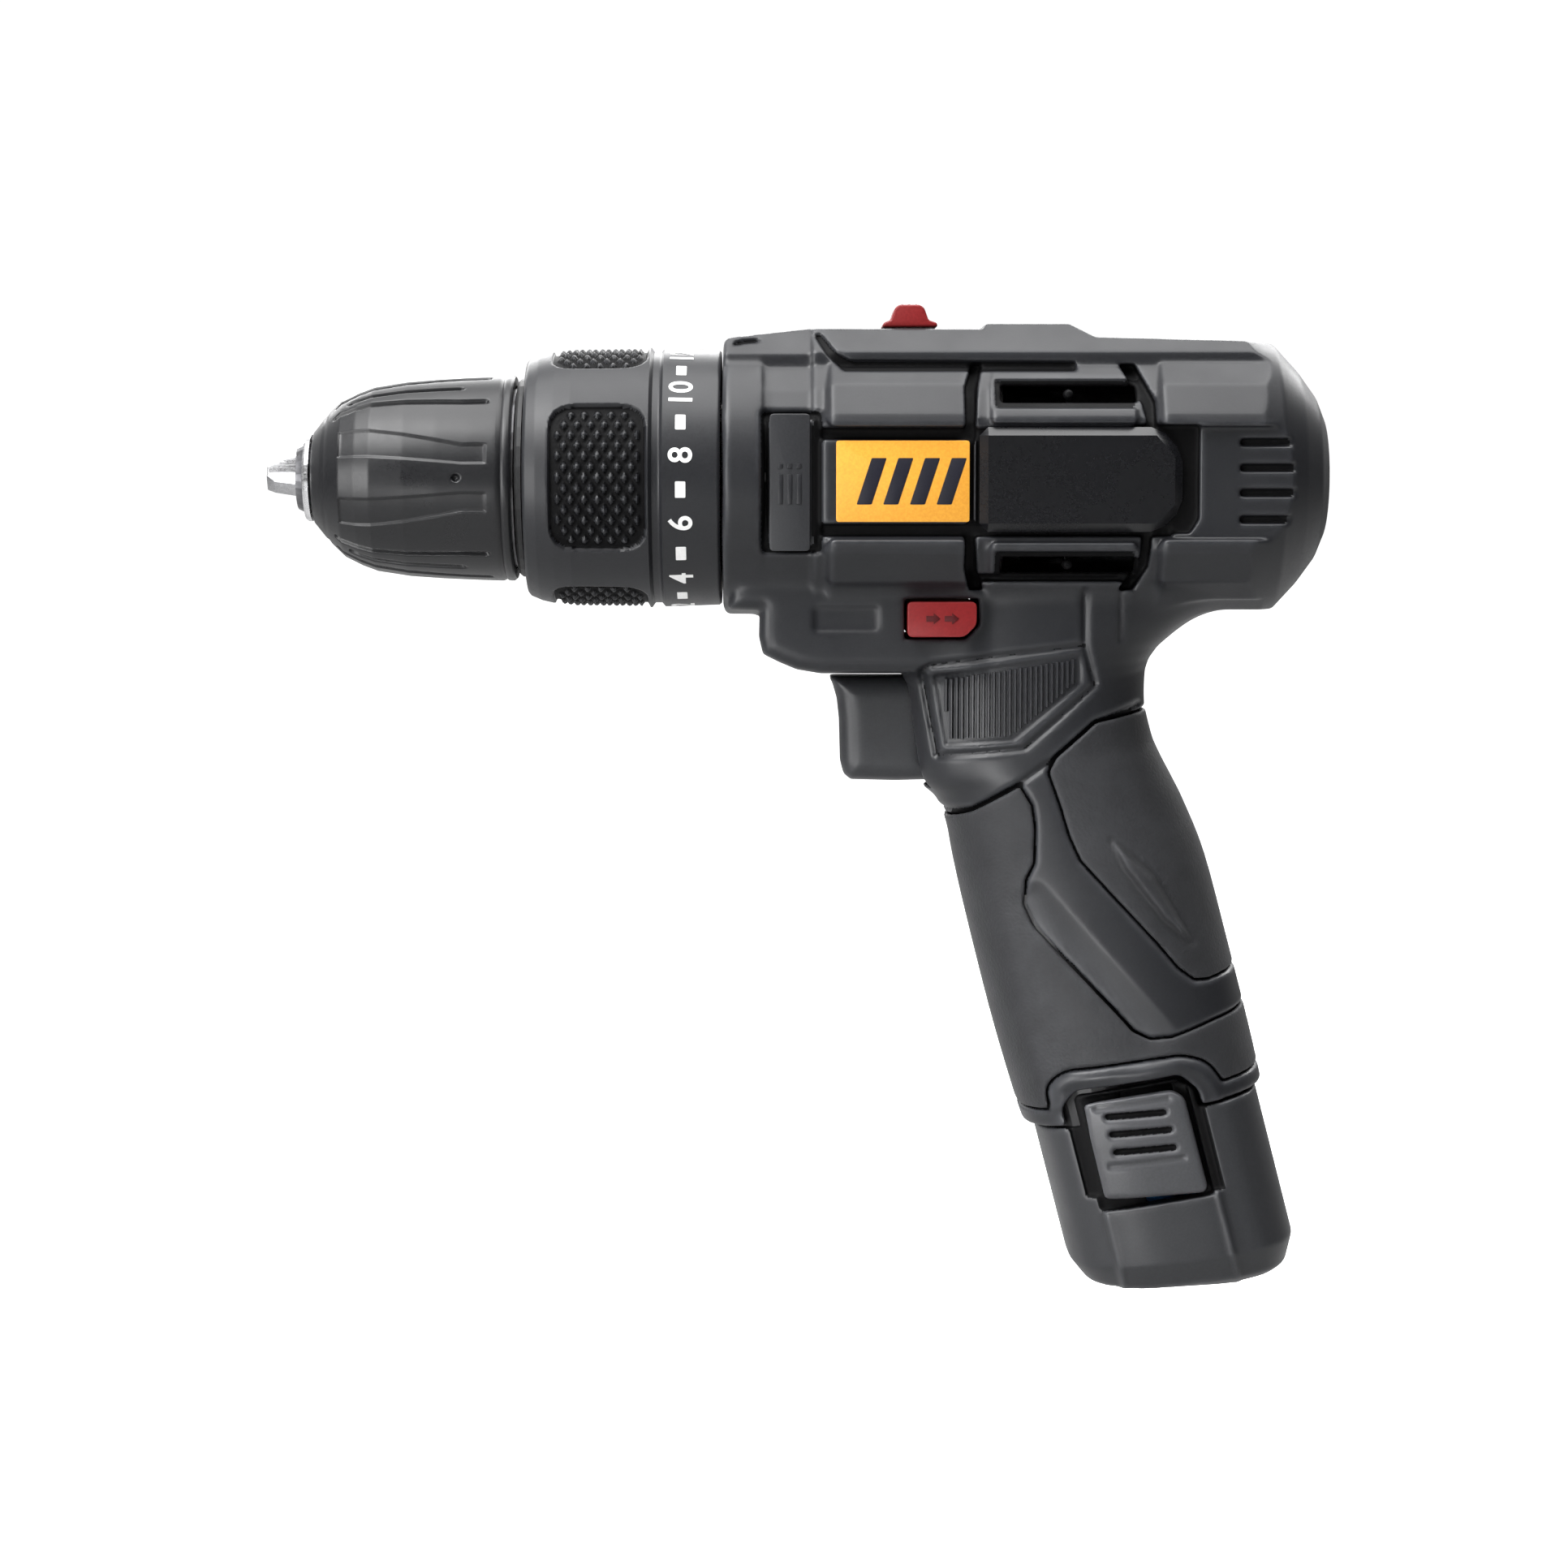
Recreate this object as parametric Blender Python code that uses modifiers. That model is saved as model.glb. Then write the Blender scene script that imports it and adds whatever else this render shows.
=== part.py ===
"""Cordless drill with a keyless chuck, a clutch collar, a two-stage gearbox and a stick battery.

The origin is the centre of the housing's flat rear face, on the spindle's axis. +X points out
of the rear face, +Y is the user's right and +Z is up, so the chuck points to -X.
Dimensions are in millimetres, and every mesh is made in metres.
"""
import math

import bmesh
import bpy
from mathutils import Matrix, Vector

MM = 0.001
GAP = 0.3
STEPS = 28

# Motor housing: cross-section (y, z) of one side, and side outline (x, z)
SPLIT_GAP = 0.3
BARREL_FRONT_X = -106.4
BARREL_SECTION = [
    (11.4, 27.4), (14.0, 22.3), (14.0, 19.6), (18.4, 15.4), (21.9, 10.4), (22.3, 8.4),
    (22.3, -9.6), (21.6, -12.6), (18.2, -17.4), (13.8, -20.9), (9.0, -23.2),
]
BARREL_SIDE = [
    (-106.4, 23.9), (-105.6, 24.5), (-91.7, 26.1), (-61.0, 26.0), (-60.6, 27.0),
    (-45.8, 27.0), (-41.4, 24.6), (-8.6, 23.7), (1.0, 23.7), (1.0, -23.2), (-106.4, -23.2),
]
REAR_CAP_PROFILE = [(0.0, 10.4), (-1.75, 14.6), (-5.0, 19.0), (-9.3, 23.6), (-20.0, 29.0)]
NECK_RADIUS = 24.2
NECK_LENGTH = 8.0
UPPER_RIDGE = [
    (12.0, 20.1), (14.2, 20.1), (19.6, 16.1), (23.3, 10.9), (24.0, 8.8), (20.0, 8.8), (12.0, 14.0),
]
LOWER_RIDGE = [
    (12.0, -21.2), (14.6, -21.2), (19.5, -18.0), (23.4, -12.9), (24.0, -10.6), (20.0, -10.6),
    (12.0, -14.0),
]
RIDGE_SPANS = [(-90.2, -61.2), (-34.0, -8.0)]
RIDGE_CHAMFER = 1.4
BORE_RADIUS = 20.1
BORE_PROFILE = [
    (-107.0, 0.0), (-107.0, BORE_RADIUS), (-13.0, BORE_RADIUS), (-5.5, 16.0), (-2.5, 9.5), (-2.5, 0.0),
]
CHIN_SIDE = [
    (-105.0, -15.0), (-105.6, -23.0), (-100.2, -23.2), (-100.3, -27.8), (-99.6, -30.8),
    (-96.8, -32.2), (-93.7, -33.5), (-89.5, -34.2), (-62.0, -34.2), (-62.0, -15.0),
]
CHIN_HALF_WIDTH = 17.0
CHIN_EDGE = 2.5

# Grip: front point (x, z), rear point (x, z) and half width of each section, top to bottom
GRIP_SECTIONS = [
    ((-80.0, -18.0), (-14.0, -19.0), 17.0),
    ((-79.0, -34.0), (-29.2, -29.8), 17.8),
    ((-74.6, -47.0), (-31.6, -38.4), 17.9),
    ((-69.2, -57.0), (-29.2, -47.2), 18.3),
    ((-65.6, -67.6), (-24.4, -57.4), 19.6),
    ((-63.4, -77.3), (-20.6, -66.8), 21.0),
    ((-59.0, -94.8), (-16.2, -83.0), 22.2),
    ((-55.3, -107.6), (-12.4, -97.6), 22.8),
    ((-52.9, -115.0), (-10.2, -107.0), 22.8),
]
GRIP_ROUNDNESS = 2.5
GRIP_WALL = 2.4
GRIP_POINTS = 24
SKIN_THICKNESS = 0.8
SKIN_CLEARANCE = 0.3
FRONT_SKIN = [
    (-76.0, -61.5), (-67.3, -59.8), (-62.8, -58.2), (-54.6, -53.4), (-52.3, -57.2), (-51.8, -61.3),
    (-52.0, -67.3), (-53.4, -70.2), (-53.6, -74.5), (-52.0, -78.0), (-47.4, -83.0), (-37.2, -93.6),
    (-34.8, -96.3), (-31.9, -97.6), (-28.3, -97.3), (-20.5, -94.6), (-4.0, -90.5), (-4.0, -102.8),
    (-60.0, -113.2),
]
REAR_SKIN = [
    (-24.0, -37.0), (-31.5, -40.6), (-41.4, -42.5), (-48.5, -48.6), (-49.9, -51.3), (-47.8, -57.2),
    (-46.2, -62.5), (-44.3, -66.7), (-38.3, -73.2), (-30.5, -81.5), (-27.0, -85.6), (-24.1, -87.7),
    (-21.6, -87.8), (-15.9, -86.6), (-4.0, -82.5), (-4.0, -37.0),
]

# Openings and plates of the housing
VENT_X = (-58.4, -34.8)
VENT_UPPER_Z = (12.9, 15.9)
VENT_LOWER_Z = (-16.4, -13.6)
RIB_HEIGHTS = [6.1, 1.7, -2.6, -7.2]
RIB_X = (-17.3, -5.0)
RIB_WIDTH = 1.2
PLATE_FACE_Y = 22.3
PLATE_THICKNESS = 0.7
SIDE_PLATE = [(-98.6, 11.2), (-91.2, 11.2), (-91.2, -12.8), (-98.6, -12.8)]
LABEL_PLATE = [(-87.0, 6.4), (-63.8, 6.4), (-63.8, -7.6), (-87.0, -7.6)]
COVER_PLATE = [(-62.4, 8.2), (-30.0, 8.2), (-26.2, 4.4), (-26.2, -5.4), (-30.0, -9.2), (-62.4, -9.2)]

# Controls
SELECTOR_X = (-76.7, -70.9)
SELECTOR_TRAVEL = 7.5
SELECTOR_TOP_Z = 30.5
SELECTOR_BASE_Z = 26.4
DIRECTION_OUTLINE = [(-74.5, -21.4), (-62.3, -21.4), (-62.3, -25.6), (-64.4, -27.7), (-74.5, -27.7)]
DIRECTION_HALF_LENGTH = 19.4
TRIGGER_OUTLINE = [
    (-88.6, -34.8), (-87.4, -36.6), (-86.6, -39.4), (-86.2, -43.0), (-86.0, -50.6), (-84.6, -53.8),
    (-76.0, -54.2), (-69.0, -54.0), (-69.0, -34.8),
]
TRIGGER_HALF_WIDTH = 7.2
LENS_OUTLINE = [
    (-100.3, -25.0), (-100.2, -28.0), (-99.3, -30.4), (-97.2, -31.2), (-96.4, -31.0), (-96.4, -25.0),
]
LENS_HALF_WIDTH = 5.0
SWITCH_X = (-59.5, -41.0)
SWITCH_Z = (-53.5, -31.0)
SWITCH_HALF_WIDTH = 8.5

# Gears: two equal planetary stages
MODULE = 0.9
PRESSURE_ANGLE = math.radians(25.0)
SUN_TEETH = 12
PLANET_TEETH = 12
RING_TEETH = 36
ADDENDUM = 0.8
DEDENDUM = 1.1
BACKLASH = 0.2
PLANET_ORBIT = MODULE * (SUN_TEETH + PLANET_TEETH) / 2.0
PLANETS = 3
PIN_RADIUS = 1.8
PLANET_BORE = 2.25
STAGE_1_X = (-73.2, -67.3)
STAGE_2_X = (-91.6, -83.0)
SHIFT_RING_X = (-80.9, -67.0)
SHIFT_RING_RADIUS = 18.2
CARRIER_RADIUS = 14.3

# Motor
CAN_X = (-57.5, -13.5)
CAN_RADIUS = 17.8
CAN_WALL = 1.2
SHAFT_RADIUS = 1.6
SHAFT_X = (-72.6, -7.0)

# Gearbox case and clutch
CASE_RADIUS = 19.7
CASE_BORE = 18.6
NOSE_RADIUS = 13.0
NOSE_BORE = 9.5
NOSE_FRONT_X = -140.6
COLLAR_PROFILE = [
    (-141.3, 13.6), (-141.3, 20.9), (-139.0, 21.8), (-136.0, 22.5), (-133.0, 22.9), (-119.2, 23.1),
    (-118.6, 22.2), (-117.6, 22.2), (-117.0, 22.9), (-107.0, 22.6), (-107.0, 20.3), (-138.6, 20.3),
    (-138.6, 13.6),
]
NUT_X = (-124.4, -118.0)
SPRING_X = (-117.4, -100.8)
SPRING_RADIUS = 16.2
SPRING_WIRE = 1.0
SPRING_TURNS = 4
COIL_POINTS = 10

# Chuck
SPINDLE_RADIUS = 6.2
SPINDLE_FRONT_X = -152.5
SLEEVE_PROFILE = [
    (-179.6, 7.9), (-177.0, 11.2), (-174.0, 14.1), (-171.0, 15.6), (-168.3, 16.6), (-162.4, 17.5),
    (-156.6, 17.9), (-150.8, 18.15), (-143.5, 18.3), (-143.5, 16.2), (-160.0, 15.9), (-168.0, 14.2),
    (-172.0, 12.2), (-176.0, 9.2), (-178.6, 6.9), (-179.6, 6.9),
]
BODY_PROFILE = [
    (-182.4, 5.0), (-182.4, 5.6), (-181.2, 6.2), (-178.6, 6.4), (-175.5, 8.7), (-171.5, 11.7),
    (-167.5, 13.7), (-159.5, 15.5), (-143.2, 15.8), (-143.2, 6.6), (-153.4, 6.6), (-153.4, 5.0),
]
FLUTE_GROUPS = 6
FLUTES_IN_GROUP = 3
FLUTE_PITCH_DEG = 12.0
FLUTE_X = (-172.6, -146.4)
JAW_SIDE = [(-188.2, 0.25), (-188.2, 2.2), (-186.5, 3.4), (-163.0, 9.7), (-163.0, 3.7), (-176.0, 0.25)]
JAW_HALF_WIDTH = 2.3
JAW_SLOT = [(-183.5, 0.0), (-176.8, 0.0), (-144.0, 8.5), (-144.0, 15.2), (-183.5, 4.55)]

# Battery: a point on its axis (x, z), its axis leaning back by STICK_TILT
STICK_POINT = Vector((-27.6, 0.0, -125.4))
STICK_TILT = math.radians(14.5)
STICK_UP = Vector((-math.sin(STICK_TILT), 0.0, math.cos(STICK_TILT)))
STICK_BACK = Vector((math.cos(STICK_TILT), 0.0, math.sin(STICK_TILT)))
PACK_HALF_DEPTH = 20.0
PACK_HALF_WIDTH = 22.4
PACK_ROUNDNESS = 3.0
PACK_FOOT = [(13.5, 16.6, -18.0, -0.2), (17.8, 20.6, -16.6, -0.12), (20.0, 22.4, -12.0, -0.12)]
PACK_TOP_S = 14.5
PACK_TOP_SLOPE = -0.068
CELL_RADIUS = 9.05
CELL_LENGTH = 65.0
CELL_BASE_S = -10.4
CELL_CENTRES = [(-8.0, -9.2), (-8.0, 9.2), (8.0, 0.0)]
TOWER_TOP_S = 57.4
TOWER_OFFSET = 9.75
TOWER_WALL = 0.5
LATCH_E = (-12.5, 4.8)
LATCH_S = (0.5, 18.3)
LATCH_INNER_Y = 20.6
POCKET_FLOOR_Y = 19.3
NOTCH_E = (-15.4, 7.8)
NOTCH_TOP_S = 21.4
NOTCH_CORNER = 3.5

# Housing screws: (x, z) of each, driven from the right side
SCREWS = [(-37.4, -37.0), (-88.0, -28.6), (-60.4, -63.0), (-36.5, -55.5)]
SCREW_HEAD_RADIUS = 2.6
SCREW_SHANK_RADIUS = 1.4
BOSS_RADIUS = 3.6
SCREW_HEAD_Y = 12.0

LOOKS = {
    "charcoal": ((0.035, 0.037, 0.043), 0.45, 0.0),
    "rubber": ((0.03, 0.032, 0.036), 0.75, 0.0),
    "black": ((0.012, 0.012, 0.014), 0.4, 0.0),
    "red": ((0.26, 0.012, 0.016), 0.4, 0.0),
    "amber": ((0.93, 0.43, 0.05), 0.45, 0.0),
    "steel": ((0.6, 0.6, 0.62), 0.25, 1.0),
    "dark_steel": ((0.16, 0.16, 0.17), 0.35, 1.0),
    "sintered": ((0.32, 0.31, 0.3), 0.45, 1.0),
    "bronze": ((0.5, 0.32, 0.15), 0.4, 1.0),
    "copper": ((0.7, 0.3, 0.14), 0.35, 1.0),
    "nylon": ((0.7, 0.68, 0.62), 0.5, 0.0),
    "lens": ((0.85, 0.88, 0.9), 0.1, 0.0),
    "cell": ((0.05, 0.2, 0.4), 0.4, 0.0),
    "board": ((0.02, 0.16, 0.06), 0.5, 0.0),
}


def clear_scene():
    for thing in list(bpy.data.objects):
        bpy.data.objects.remove(thing, do_unlink=True)


def make_collection(name):
    collection = bpy.data.collections.new(name)
    bpy.context.scene.collection.children.link(collection)
    return collection


def material_for(name, look):
    colour, roughness, metallic = LOOKS[look]
    material = bpy.data.materials.new(name)
    material.use_nodes = True
    shader = material.node_tree.nodes["Principled BSDF"]
    shader.inputs["Base Color"].default_value = (*colour, 1.0)
    shader.inputs["Roughness"].default_value = roughness
    shader.inputs["Metallic"].default_value = metallic
    return material


def along_x(a, b, h):
    return Vector((h, a, b))


def along_y(a, b, h):
    return Vector((a, h, b))


def along_z(a, b, h):
    return Vector((a, b, h))


def along_stick(a, b, h):
    """a is towards the back and b is sideways in the battery's section, h is along its axis."""
    return STICK_POINT + STICK_BACK * a + Vector((0.0, b, 0.0)) + STICK_UP * h


def from_stick_side(a, b, h):
    """a is towards the back and b is up the battery's axis, h is sideways."""
    return STICK_POINT + STICK_BACK * a + STICK_UP * b + Vector((0.0, h, 0.0))


def frame_of(place):
    """The matrix that takes a flat outline (a, b, h) to where place puts it, in metres."""
    start = place(0.0, 0.0, 0.0)
    columns = [place(*v) - start for v in ((1, 0, 0), (0, 1, 0), (0, 0, 1))]
    matrix = Matrix.Identity(4)
    for index, column in enumerate(columns):
        matrix.col[index] = (*column, 0.0)
    matrix.translation = start * MM
    return matrix


def tidy(mesh):
    """Welds a closed mesh, makes its faces point out and drops faces of no area."""
    shape = bmesh.new()
    shape.from_mesh(mesh)
    bmesh.ops.remove_doubles(shape, verts=shape.verts, dist=1e-6)
    bmesh.ops.recalc_face_normals(shape, faces=shape.faces)
    shape.to_mesh(mesh)
    shape.free()


def show(name, mesh, collection):
    thing = bpy.data.objects.new(name, mesh)
    collection.objects.link(thing)
    if collection is CUTTERS:
        thing.hide_render = True
        thing.display_type = "WIRE"
    return thing


def settled(thing):
    """Replaces an object by its evaluated mesh, so that it can be cut or joined."""
    bpy.context.view_layer.update()
    evaluated = thing.evaluated_get(bpy.context.evaluated_depsgraph_get())
    mesh = bpy.data.meshes.new_from_object(evaluated)
    mesh.transform(thing.matrix_world)
    tidy(mesh)
    name, collection = thing.name, thing.users_collection[0]
    bpy.data.objects.remove(thing, do_unlink=True)
    return show(name, mesh, collection)


def prism(name, outline, low, high, place, collection=None):
    """A flat outline extruded from low to high, as a filled 2D curve."""
    curve = bpy.data.curves.new(name, "CURVE")
    curve.dimensions = "2D"
    curve.fill_mode = "BOTH"
    curve.extrude = (high - low) / 2.0 * MM
    spline = curve.splines.new("POLY")
    spline.points.add(len(outline) - 1)
    for point, (a, b) in zip(spline.points, outline):
        point.co = (a * MM, b * MM, 0.0, 1.0)
    spline.use_cyclic_u = True
    thing = show(name, curve, CUTTERS if collection is None else collection)
    lift = Matrix.Translation((0.0, 0.0, (low + high) / 2.0 * MM))
    thing.matrix_world = frame_of(place) @ lift
    return settled(thing)


def circle(radius, count, centre=(0.0, 0.0), start=0.0):
    return [
        (
            centre[0] + radius * math.cos(start + 2.0 * math.pi * k / count),
            centre[1] + radius * math.sin(start + 2.0 * math.pi * k / count),
        )
        for k in range(count)
    ]


def rod(name, radius, low, high, place, centre=(0.0, 0.0), count=16, collection=None):
    return prism(name, circle(radius, count, centre), low, high, place, collection)


def box(name, low, high, collection=None):
    outline = [(low[0], low[1]), (high[0], low[1]), (high[0], high[1]), (low[0], high[1])]
    return prism(name, outline, low[2], high[2], along_z, collection)


def turned(name, profile, collection=None, steps=STEPS):
    """A closed profile of (x, radius) points turned about the X axis by a Screw modifier."""
    mesh = bpy.data.meshes.new(name)
    shape = bmesh.new()
    points = [shape.verts.new((x * MM, 0.0, radius * MM)) for x, radius in profile]
    for first, second in zip(points, points[1:] + points[:1]):
        on_axis = first.co.z < 1e-9 and second.co.z < 1e-9
        if not on_axis:
            shape.edges.new((first, second))
    shape.to_mesh(mesh)
    shape.free()
    thing = show(name, mesh, CUTTERS if collection is None else collection)
    screw = thing.modifiers.new("turn", "SCREW")
    screw.axis = "X"
    screw.steps = steps
    screw.render_steps = steps
    screw.use_merge_vertices = True
    screw.merge_threshold = 1e-6
    return settled(thing)


def loft(name, rings, collection=None):
    """A closed skin over rings of equally many points."""
    mesh = bpy.data.meshes.new(name)
    shape = bmesh.new()
    rows = [[shape.verts.new(point * MM) for point in ring] for ring in rings]
    count = len(rows[0])
    for lower, upper in zip(rows, rows[1:]):
        for k in range(count):
            follow = (k + 1) % count
            shape.faces.new((lower[k], lower[follow], upper[follow], upper[k]))
    shape.faces.new(list(reversed(rows[0])))
    shape.faces.new(rows[-1])
    shape.to_mesh(mesh)
    shape.free()
    tidy(mesh)
    return show(name, mesh, CUTTERS if collection is None else collection)


def copied(thing, name, collection=None):
    return show(name, thing.data.copy(), CUTTERS if collection is None else collection)


def combine(thing, tool, operation, keep=False):
    modifier = thing.modifiers.new(operation.lower(), "BOOLEAN")
    modifier.operation = operation
    modifier.solver = "EXACT"
    modifier.object = tool
    result = settled(thing)
    if not keep:
        bpy.data.objects.remove(tool, do_unlink=True)
    return result


def cut(thing, tool, keep=False):
    return combine(thing, tool, "DIFFERENCE", keep)


def join(thing, tool, keep=False):
    return combine(thing, tool, "UNION", keep)


def common(thing, tool, keep=False):
    return combine(thing, tool, "INTERSECT", keep)


def finish(thing, look, pivot=None):
    """Gives a piece its material, smooth shading and its origin on its joint's axis."""
    thing.data.materials.clear()
    thing.data.materials.append(material_for(thing.name, look))
    thing.data.shade_smooth()
    thing.data.set_sharp_from_angle(angle=math.radians(32.0))
    if pivot is not None:
        place = Vector(pivot) * MM
        thing.data.transform(Matrix.Translation(-place))
        thing.location = place
    return thing


def mirrored(thing, name):
    """The same piece on the other side of the drill's middle plane."""
    mesh = thing.data.copy()
    mesh.transform(thing.matrix_world)
    mesh.transform(Matrix.Scale(-1.0, 4, (0.0, 1.0, 0.0)))
    tidy(mesh)
    return show(name, mesh, PARTS)


# ---------------------------------------------------------------- sections

def ring_of(front, rear, half_width, roundness, count):
    """A superellipse in the plane through front and rear (x, z) and the Y direction."""
    middle = Vector(((front[0] + rear[0]) / 2.0, 0.0, (front[1] + rear[1]) / 2.0))
    reach = Vector(((rear[0] - front[0]) / 2.0, 0.0, (rear[1] - front[1]) / 2.0))
    points = []
    for k in range(count):
        angle = 2.0 * math.pi * k / count
        cosine, sine = math.cos(angle), math.sin(angle)
        along = math.copysign(abs(cosine) ** (2.0 / roundness), cosine)
        aside = math.copysign(abs(sine) ** (2.0 / roundness), sine)
        points.append(middle + reach * along + Vector((0.0, half_width * aside, 0.0)))
    return points


def grip_rings(inset, extend=0.0):
    """The grip's sections pulled in by inset, with the last one moved down by extend."""
    rings = []
    for front, rear, half_width in GRIP_SECTIONS:
        start, end = Vector((front[0], front[1])), Vector((rear[0], rear[1]))
        along = (end - start).normalized() * inset
        first, second = start + along, end - along
        rings.append(ring_of(first, second, half_width - inset, GRIP_ROUNDNESS, GRIP_POINTS))
    if extend:
        rings.append([point - STICK_UP * extend for point in rings[-1]])
    return rings


def pack_ring(half_depth, half_width, height, slope=0.0):
    points = []
    for angle in (2.0 * math.pi * k / GRIP_POINTS for k in range(GRIP_POINTS)):
        cosine, sine = math.cos(angle), math.sin(angle)
        back = half_depth * math.copysign(abs(cosine) ** (2.0 / PACK_ROUNDNESS), cosine)
        side = half_width * math.copysign(abs(sine) ** (2.0 / PACK_ROUNDNESS), sine)
        points.append(along_stick(back, side, height + slope * back))
    return points


def cell_hull(offset):
    """The outline (back, side) around the battery's three cells at a distance from their axes."""
    points = [
        point
        for centre in CELL_CENTRES
        for point in circle(offset, 24, centre, math.radians(7.5))
    ]
    shape = bmesh.new()
    for back, side in points:
        shape.verts.new((back, side, 0.0))
    hull = bmesh.ops.convex_hull(shape, input=shape.verts)
    kept = {v for v in hull["geom"] if isinstance(v, bmesh.types.BMVert)}
    found = [(v.co.x, v.co.y) for v in kept if v.link_edges]
    shape.free()
    middle = (sum(p[0] for p in found) / len(found), sum(p[1] for p in found) / len(found))
    return sorted(found, key=lambda p: math.atan2(p[1] - middle[1], p[0] - middle[0]))


def involute(angle):
    return math.tan(angle) - angle


def tooth_half_angle(teeth, radius, slack):
    pitch_radius = teeth * MODULE / 2.0
    base_radius = pitch_radius * math.cos(PRESSURE_ANGLE)
    angle = math.acos(base_radius / radius) if radius > base_radius else 0.0
    thickness = math.pi / (2.0 * teeth) - slack / (2.0 * pitch_radius)
    return thickness + involute(PRESSURE_ANGLE) - involute(angle)


def gear_outline(teeth, radii, slack, phase=0.0):
    """Points (y, z) of a gear with straight flanks between the given radii, root first."""
    points = []
    for tooth in range(teeth):
        centre = phase + 2.0 * math.pi * tooth / teeth
        for radius in radii:
            angle = centre - tooth_half_angle(teeth, radius, slack)
            points.append((radius * math.cos(angle), radius * math.sin(angle)))
        for radius in reversed(radii):
            angle = centre + tooth_half_angle(teeth, radius, slack)
            points.append((radius * math.cos(angle), radius * math.sin(angle)))
    return points


def external_radii(teeth):
    pitch_radius = teeth * MODULE / 2.0
    root = pitch_radius - DEDENDUM * MODULE
    return [root, pitch_radius, pitch_radius + ADDENDUM * MODULE]


def ring_spaces():
    """The outline of a ring gear's hole: its spaces are the teeth of an outside gear."""
    pitch_radius = RING_TEETH * MODULE / 2.0
    radii = [pitch_radius - ADDENDUM * MODULE, pitch_radius + DEDENDUM * MODULE]
    return gear_outline(RING_TEETH, radii, -BACKLASH)


# ---------------------------------------------------------------- housing

def housing_outside():
    section = [(y, z) for y, z in BARREL_SECTION] + [(-y, z) for y, z in reversed(BARREL_SECTION)]
    body = prism("housing_solid", section, BARREL_FRONT_X, 1.0, along_x)
    body = common(body, prism("side_outline", BARREL_SIDE, -40.0, 40.0, along_y))
    cap = [(0.0, 0.0)] + REAR_CAP_PROFILE + [(-110.0, 29.0), (-110.0, 0.0)]
    body = common(body, turned("rear_cap", cap))
    neck = [
        (BARREL_FRONT_X, 0.0), (BARREL_FRONT_X, NECK_RADIUS - 0.6), (BARREL_FRONT_X + 0.6, NECK_RADIUS),
        (BARREL_FRONT_X + NECK_LENGTH, NECK_RADIUS), (BARREL_FRONT_X + NECK_LENGTH + 2.0, 20.0),
        (BARREL_FRONT_X + NECK_LENGTH + 2.0, 0.0),
    ]
    body = join(body, turned("neck", neck, steps=40))
    for start, end in RIDGE_SPANS:
        for section in (UPPER_RIDGE, LOWER_RIDGE):
            for side in (1.0, -1.0):
                body = join(body, ridge(section, start, end, side))
    chin = prism("chin", CHIN_SIDE, -CHIN_HALF_WIDTH, CHIN_HALF_WIDTH, along_y)
    round_side_edges(chin, CHIN_HALF_WIDTH, CHIN_EDGE)
    body = join(body, chin)
    return join(body, loft("grip_outside", grip_rings(0.0)))


def ridge(section, start, end, side):
    """A raised strip along the barrel whose two ends slope down into it."""
    rings = []
    for x, low in (
        (start, True), (start + RIDGE_CHAMFER, False), (end - RIDGE_CHAMFER, False), (end, True),
    ):
        factor = 0.94 if low else 1.0
        rings.append([Vector((x, side * y * factor, z * factor)) for y, z in section])
    return loft("ridge", rings)


def round_side_edges(thing, half_width, size):
    """Rounds the outlines of a plate's two side faces."""
    shape = bmesh.new()
    shape.from_mesh(thing.data)
    reach = half_width * MM - 1e-6
    bmesh.ops.dissolve_limit(shape, angle_limit=0.01, verts=shape.verts, edges=shape.edges)
    edges = [
        edge
        for edge in shape.edges
        if all(abs(v.co.y) > reach for v in edge.verts)
        and edge.verts[0].co.y * edge.verts[1].co.y > 0.0
    ]
    bmesh.ops.bevel(shape, geom=edges, offset=size * MM, segments=2, profile=0.5, affect="EDGES")
    shape.to_mesh(thing.data)
    shape.free()


def notch_outline(grow):
    low, high = NOTCH_E[0] - grow, NOTCH_E[1] + grow
    top = NOTCH_TOP_S + grow
    return [
        (low, -30.0), (high, -30.0), (high, top - NOTCH_CORNER), (high - NOTCH_CORNER, top),
        (low + NOTCH_CORNER, top), (low, top - NOTCH_CORNER),
    ]


def plate_pocket(outline):
    """A recess for a plate that lies flush in the housing's side."""
    middle = (
        sum(p[0] for p in outline) / len(outline),
        sum(p[1] for p in outline) / len(outline),
    )
    grown = []
    for x, z in outline:
        step_x = math.copysign(GAP, x - middle[0])
        step_z = math.copysign(GAP, z - middle[1])
        grown.append((x + step_x, z + step_z))
    return prism("plate_pocket", grown, PLATE_FACE_Y - PLATE_THICKNESS - GAP, 30.0, along_y)


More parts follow.
